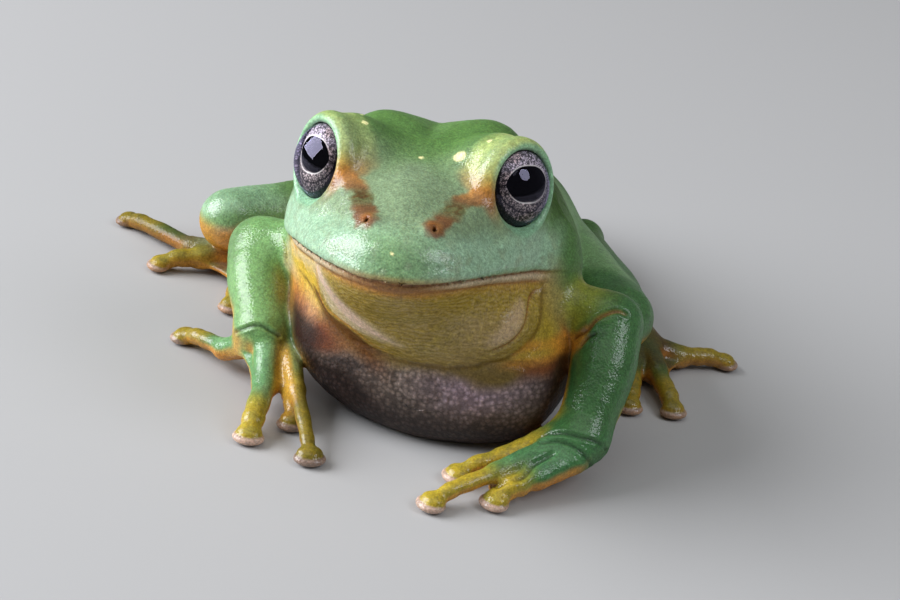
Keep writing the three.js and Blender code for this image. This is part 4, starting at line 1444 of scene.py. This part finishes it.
points, faces = skin_mesh(GRID_STEP)
distances = group_distances(points)
normals = normals_of(points, faces)
relief = skin_relief(points, distances) * ramp(*SOLE_FADE, points[:, 2])
skin = new_mesh("skin", points + normals * relief[:, None], faces)
add_colours(skin, "tint", skin_paint(points, normals, distances))
shares = group_shares(distances)
add_numbers(skin, "granular", shares[0] * (0.25 + 0.75 * belly_side(points)))
add_numbers(skin, "wet", wetness(points, shares))
skin.data.materials.append(skin_material())
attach(skin, "root")
flesh = [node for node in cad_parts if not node.startswith("eye_")]
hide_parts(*flesh)


# ---------------------------------------------------------------- eyes
# About an eye: to the tail, up and out
PUPIL_PLACE, PUPIL_HALF = np.array([0.46, 0.48]), np.array([2.90, 1.84])
IRIS_EDGE_RADIUS = 4.0
# The iris: its height at the axis, its fall towards the edge and how sharply it falls there
IRIS_TOP, IRIS_FALL, IRIS_CURVE = 3.02, 0.87, 2.4
# The dark cup behind the pupil: shares of the pupil's size and heights, and where the ball's back begins
CUP = ((0.35, 2.0), (0.7, 2.0), (0.97, 2.1), (0.985, 2.5))
BACK_RADIUS, BACK_TOP = EYE_RADIUS - 0.1, 2.15
PUPIL_BLACK = [0.0005, 0.0005, 0.0005]
IRIS_DARK, IRIS_SILVER = [0.010, 0.008, 0.011], [0.95, 0.84, 0.95]
IRIS_WARM, IRIS_LOW = [0.98, 0.72, 0.64], [0.84, 0.70, 0.68]
PUPIL_RIM = [0.95, 0.90, 0.86]


def loops_mesh(loops, first, last):
    """Points and faces of a closed surface from loops of points, with a point at each end."""
    count = loops[0].shape[1]
    points = np.vstack([[first], *[loop.T for loop in loops], [last]])
    end = len(points) - 1
    faces = []
    for i in range(count):
        j = (i + 1) % count
        faces.append([0, 1 + i, 1 + j])
        faces.append([end, end - count + j, end - count + i])
        for k in range(len(loops) - 1):
            a = 1 + k * count
            faces.append([a + i, a + count + i, a + count + j, a + j])
    return points, faces


def eye_frame(side):
    """World directions of a point made as (to the tail, up, out) about an eye."""
    flip = np.array([side, 1, 1])
    axes = np.stack([EYE_BACK * flip, EYE_UP * flip, EYE_AXIS * flip])
    return lambda made: from_head(EYE_PLACE * flip + made @ axes)


def from_nose(turn):
    """How far a direction round the eye is turned from the snout."""
    return np.abs((turn + 2 * math.pi) % (2 * math.pi) - math.pi)


def pupil_edge(turn):
    """The pupil's reach: it is a wide oval, drawn out a little to a point towards the snout."""
    wide, high = PUPIL_HALF
    half = wide * high / np.hypot(high * np.cos(turn), wide * np.sin(turn))
    squarer = 1 + 0.015 * np.cos(4 * turn - math.pi)
    return half * squarer + 0.16 * bell(from_nose(turn), 0.22)


def iris_colours(made):
    """Silver above and warmer below, under a dark web, with a pale rim at the pupil and a dark edge."""
    x, y, z = made.T
    gap_x, gap_y = x - PUPIL_PLACE[0], y - PUPIL_PLACE[1]
    r, turn = np.hypot(x, y), np.arctan2(gap_y, gap_x)
    gap = np.hypot(gap_x, gap_y) - pupil_edge(turn)
    flat = made * [1, 1, 0]
    warp = np.column_stack([noise(flat, 0.35, 11), noise(flat, 0.35, 12), z * 0])
    upper = ramp(-0.5, 0.8, y + 0.3 * noise(flat, 0.8, 16))
    near, far = cobbles(flat + 0.13 * warp, 0.25, 13)
    web = ramp(0.27, 0.09, far - near + 0.10 * noise(flat, 0.2, 14))
    ripple = np.sin(2 * math.pi * (gap / 0.42 + 0.9 * noise(flat, 0.7, 17)))
    paint = Paint(IRIS_LOW, len(made))
    paint.over(IRIS_SILVER, upper)
    paint.over(IRIS_WARM, upper * ramp(0.1, 0.9, noise(flat, 1.1, 15) - 0.35 * x) * 0.6)
    paint.over(IRIS_DARK, web * 0.90)
    paint.over(IRIS_DARK, ramp(0.45, 0.95, ripple) * (1 - upper) * 0.6)
    ditch = gap - 0.88 - 0.30 * noise(flat, 1.3, 34)
    paint.over(IRIS_DARK, bell(ditch, 0.09) * ramp(0.1, -0.8, gap_y) * 0.95)
    streak = bell(gap_y + 0.10 + 0.10 * noise(flat, 0.4, 18), 0.13) * ramp(-2.3, -2.9, gap_x)
    paint.over(IRIS_DARK, 0.85 * streak)
    paint.over(PUPIL_RIM, 0.95 * bell(gap - 0.07, 0.07) * ramp(0.15, 0.7, from_nose(turn)))
    medial_low = ramp(0.0, 1.0, -(0.75 * x + 0.65 * y) / 3.6)
    limbus = IRIS_RADIUS - 0.12 - 0.62 * medial_low + 0.35 * ramp(1.0, 3.4, x)
    paint.over(IRIS_DARK, ramp(limbus - 0.12, limbus + 0.10, r + 0.05 * noise(flat, 0.3, 19)) * 0.95)
    paint.over(PUPIL_BLACK, ramp(0.02, -0.03, gap))
    return paint.value


def eye_materials():
    """The iris, which is matt, and the cornea, which is clear and only shines."""
    n = Nodes("frog_iris")
    matt = {"Base Color": n.attribute("tint", "Color"), "Roughness": 0.6, "Specular IOR Level": 0.0}
    iris = n.ended_by(n.add("BsdfPrincipled", matt))
    n = Nodes("frog_cornea")
    clear = n.add("BsdfTransparent").outputs[0]
    shine = n.add("BsdfGlossy", {"Color": (0.76, 0.73, 1.0, 1.0), "Roughness": 0.012}).outputs[0]
    edge_on = n.add("Fresnel", {"IOR": 1.46}).outputs[0]
    return iris, n.ended_by(n.add("MixShader", {0: edge_on, 1: clear, 2: shine}))


def iris_depth(radius):
    """How far out the iris stands at a distance from the eye's axis."""
    return IRIS_TOP - IRIS_FALL * (radius / IRIS_EDGE_RADIUS) ** IRIS_CURVE


def circle(turns):
    """Directions round the eye's axis, and their x and y."""
    turn = np.linspace(0, 2 * math.pi, turns, endpoint=False)
    return turn, np.stack([np.cos(turn), np.sin(turn)])


def ball_loops(radius, angles, round_it):
    """Loops of a ball at angles up from its middle."""
    turns = round_it.shape[1]
    return [radius * np.vstack([math.cos(a) * round_it, np.full(turns, math.sin(a))]) for a in angles]


def eyeball(turns, rings):
    """The iris with its hole, the dark cup behind it, and the back of the ball."""
    turn, round_it = circle(turns)
    middle = PUPIL_PLACE[:, None]
    hole = middle + pupil_edge(turn) * round_it
    edge = IRIS_EDGE_RADIUS * round_it
    loops = []
    for share, depth in CUP:
        flat = middle * (1 - share) + hole * share
        loops.append(np.vstack([flat, np.full(turns, depth)]))
    for share in np.linspace(0, 1, rings):
        flat = hole * (1 - share) + edge * share
        loops.append(np.vstack([flat, iris_depth(np.hypot(*flat))]))
    angles = np.linspace(math.asin(BACK_TOP / BACK_RADIUS), -math.pi / 2, 14)[1:-1]
    loops += ball_loops(BACK_RADIUS, angles, round_it)
    return loops_mesh(loops, [*PUPIL_PLACE, CUP[0][1]], [0, 0, -BACK_RADIUS])


def ball_mesh(turns, rings):
    _, round_it = circle(turns)
    loops = ball_loops(EYE_RADIUS, np.linspace(math.pi / 2, -math.pi / 2, rings)[1:-1], round_it)
    return loops_mesh(loops, [0, 0, EYE_RADIUS], [0, 0, -EYE_RADIUS])


# Points round the eye's axis, and loops of them
IRIS_MESH = ((384, 64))
CORNEA_MESH = (128, 65)
iris_material, cornea_material = eye_materials()
for which, side in (("left", 1), ("right", -1)):
    place = eye_frame(side)
    made, eye_faces = eyeball(*IRIS_MESH)
    eye = new_mesh("eyeball_" + which, place(made), eye_faces)
    add_colours(eye, "tint", iris_colours(made))
    eye.data.materials.append(iris_material)
    made, ball_faces = ball_mesh(*CORNEA_MESH)
    cornea = new_mesh("cornea_" + which, place(made), ball_faces)
    cornea.data.materials.append(cornea_material)
    for piece in (eye, cornea):
        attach(piece, "root")
        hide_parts("eye_" + which)
        if side == -1:
            piece.data.flip_normals()


# ---------------------------------------------------------------- floor, lights and camera
FLOOR_HALF, FLOOR_COLOUR = 4000.0, (0.42, 0.42, 0.41, 1.0)
WORLD_COLOUR, WORLD_STRENGTH = (0.30, 0.31, 0.33, 1.0), 0.34
# Lights: azimuth, elevation, distance, width and height in metres, power in watts, colour and shape
LIGHT_AIM = Vector((0, -0.008, 0.02))
LIGHTS = {
    "key_light": (-80, 28, 0.6, 0.54, 0.42, 7.9, (0.93, 0.94, 1.0), "RECTANGLE"),
    "side_light": (80, 43, 0.6, 0.29, 0.29, 1.25, (0.90, 0.92, 1.0), "DISK"),
    "top_light": (0, 84, 0.9, 1.0, 1.0, 2.2, (1.0, 0.99, 0.97), "RECTANGLE"),
}
# The camera's turn, its lens, the point it turns about and that point's place in the picture
VIEW_AZIMUTH, VIEW_ELEVATION, VIEW_ROLL = 11.5, 25.0, 8.15
VIEW_DISTANCE, LENS, SENSOR = 250.0, 100.0, 36.0
AIM, AIM_OFFSET = np.array([0.0, -12.0, 27.0]), (-30 / 900, 126 / 900)


def plain_floor():
    n = Nodes("studio_floor")
    corners = FLOOR_HALF * np.array([[-1, -1, 0], [1, -1, 0], [1, 1, 0], [-1, 1, 0]])
    floor = new_mesh("floor", corners, [[0, 1, 2, 3]], smooth=False)
    matt = n.add("BsdfPrincipled", {"Base Color": FLOOR_COLOUR, "Roughness": 0.7})
    floor.data.materials.append(n.ended_by(matt))


def direction(azimuth, elevation):
    """Azimuth 0 is in front of the frog and 90 is its left."""
    a, e = math.radians(azimuth), math.radians(elevation)
    return Vector((math.sin(a) * math.cos(e), -math.cos(a) * math.cos(e), math.sin(e)))


def softbox(name, azimuth, elevation, away, width, height, power, colour, shape):
    lamp = bpy.data.lights.new(name, "AREA")
    lamp.shape = shape
    lamp.size, lamp.size_y = width, height
    lamp.energy = power
    lamp.color = colour
    thing = bpy.data.objects.new(name, lamp)
    towards = direction(azimuth, elevation)
    thing.location = LIGHT_AIM + towards * away
    thing.rotation_euler = towards.to_track_quat("Z", "Y").to_euler()
    bpy.context.collection.objects.link(thing)


def plain_world():
    world = bpy.data.worlds.new("studio")
    world.use_nodes = True
    background = world.node_tree.nodes["Background"]
    background.inputs[0].default_value = WORLD_COLOUR
    background.inputs[1].default_value = WORLD_STRENGTH
    bpy.context.scene.world = world


def camera():
    """The camera in front of the frog and a little above it, turned by VIEW_ROLL as the photograph's is."""
    back = np.array(direction(VIEW_AZIMUTH, VIEW_ELEVATION))
    a, t = math.radians(VIEW_AZIMUTH), math.radians(VIEW_ROLL)
    level = np.array([math.cos(a), math.sin(a), 0.0])
    upright = np.cross(back, level)
    right = level * math.cos(t) + upright * math.sin(t)
    up = upright * math.cos(t) - level * math.sin(t)
    reach = SENSOR / LENS * VIEW_DISTANCE
    place = AIM + back * VIEW_DISTANCE - right * AIM_OFFSET[0] * reach - up * AIM_OFFSET[1] * reach
    lens = bpy.data.cameras.new("camera")
    lens.lens, lens.sensor_width = LENS, SENSOR
    thing = bpy.data.objects.new("camera", lens)
    axes = np.column_stack([right, up, back])
    thing.matrix_world = Matrix.Translation(place * MM) @ Matrix(axes.tolist()).to_4x4()
    bpy.context.collection.objects.link(thing)
    bpy.context.scene.camera = thing


plain_floor()
for name, form in LIGHTS.items():
    softbox(name, *form)
plain_world()
bpy.context.scene.view_settings.view_transform = "Standard"
camera()
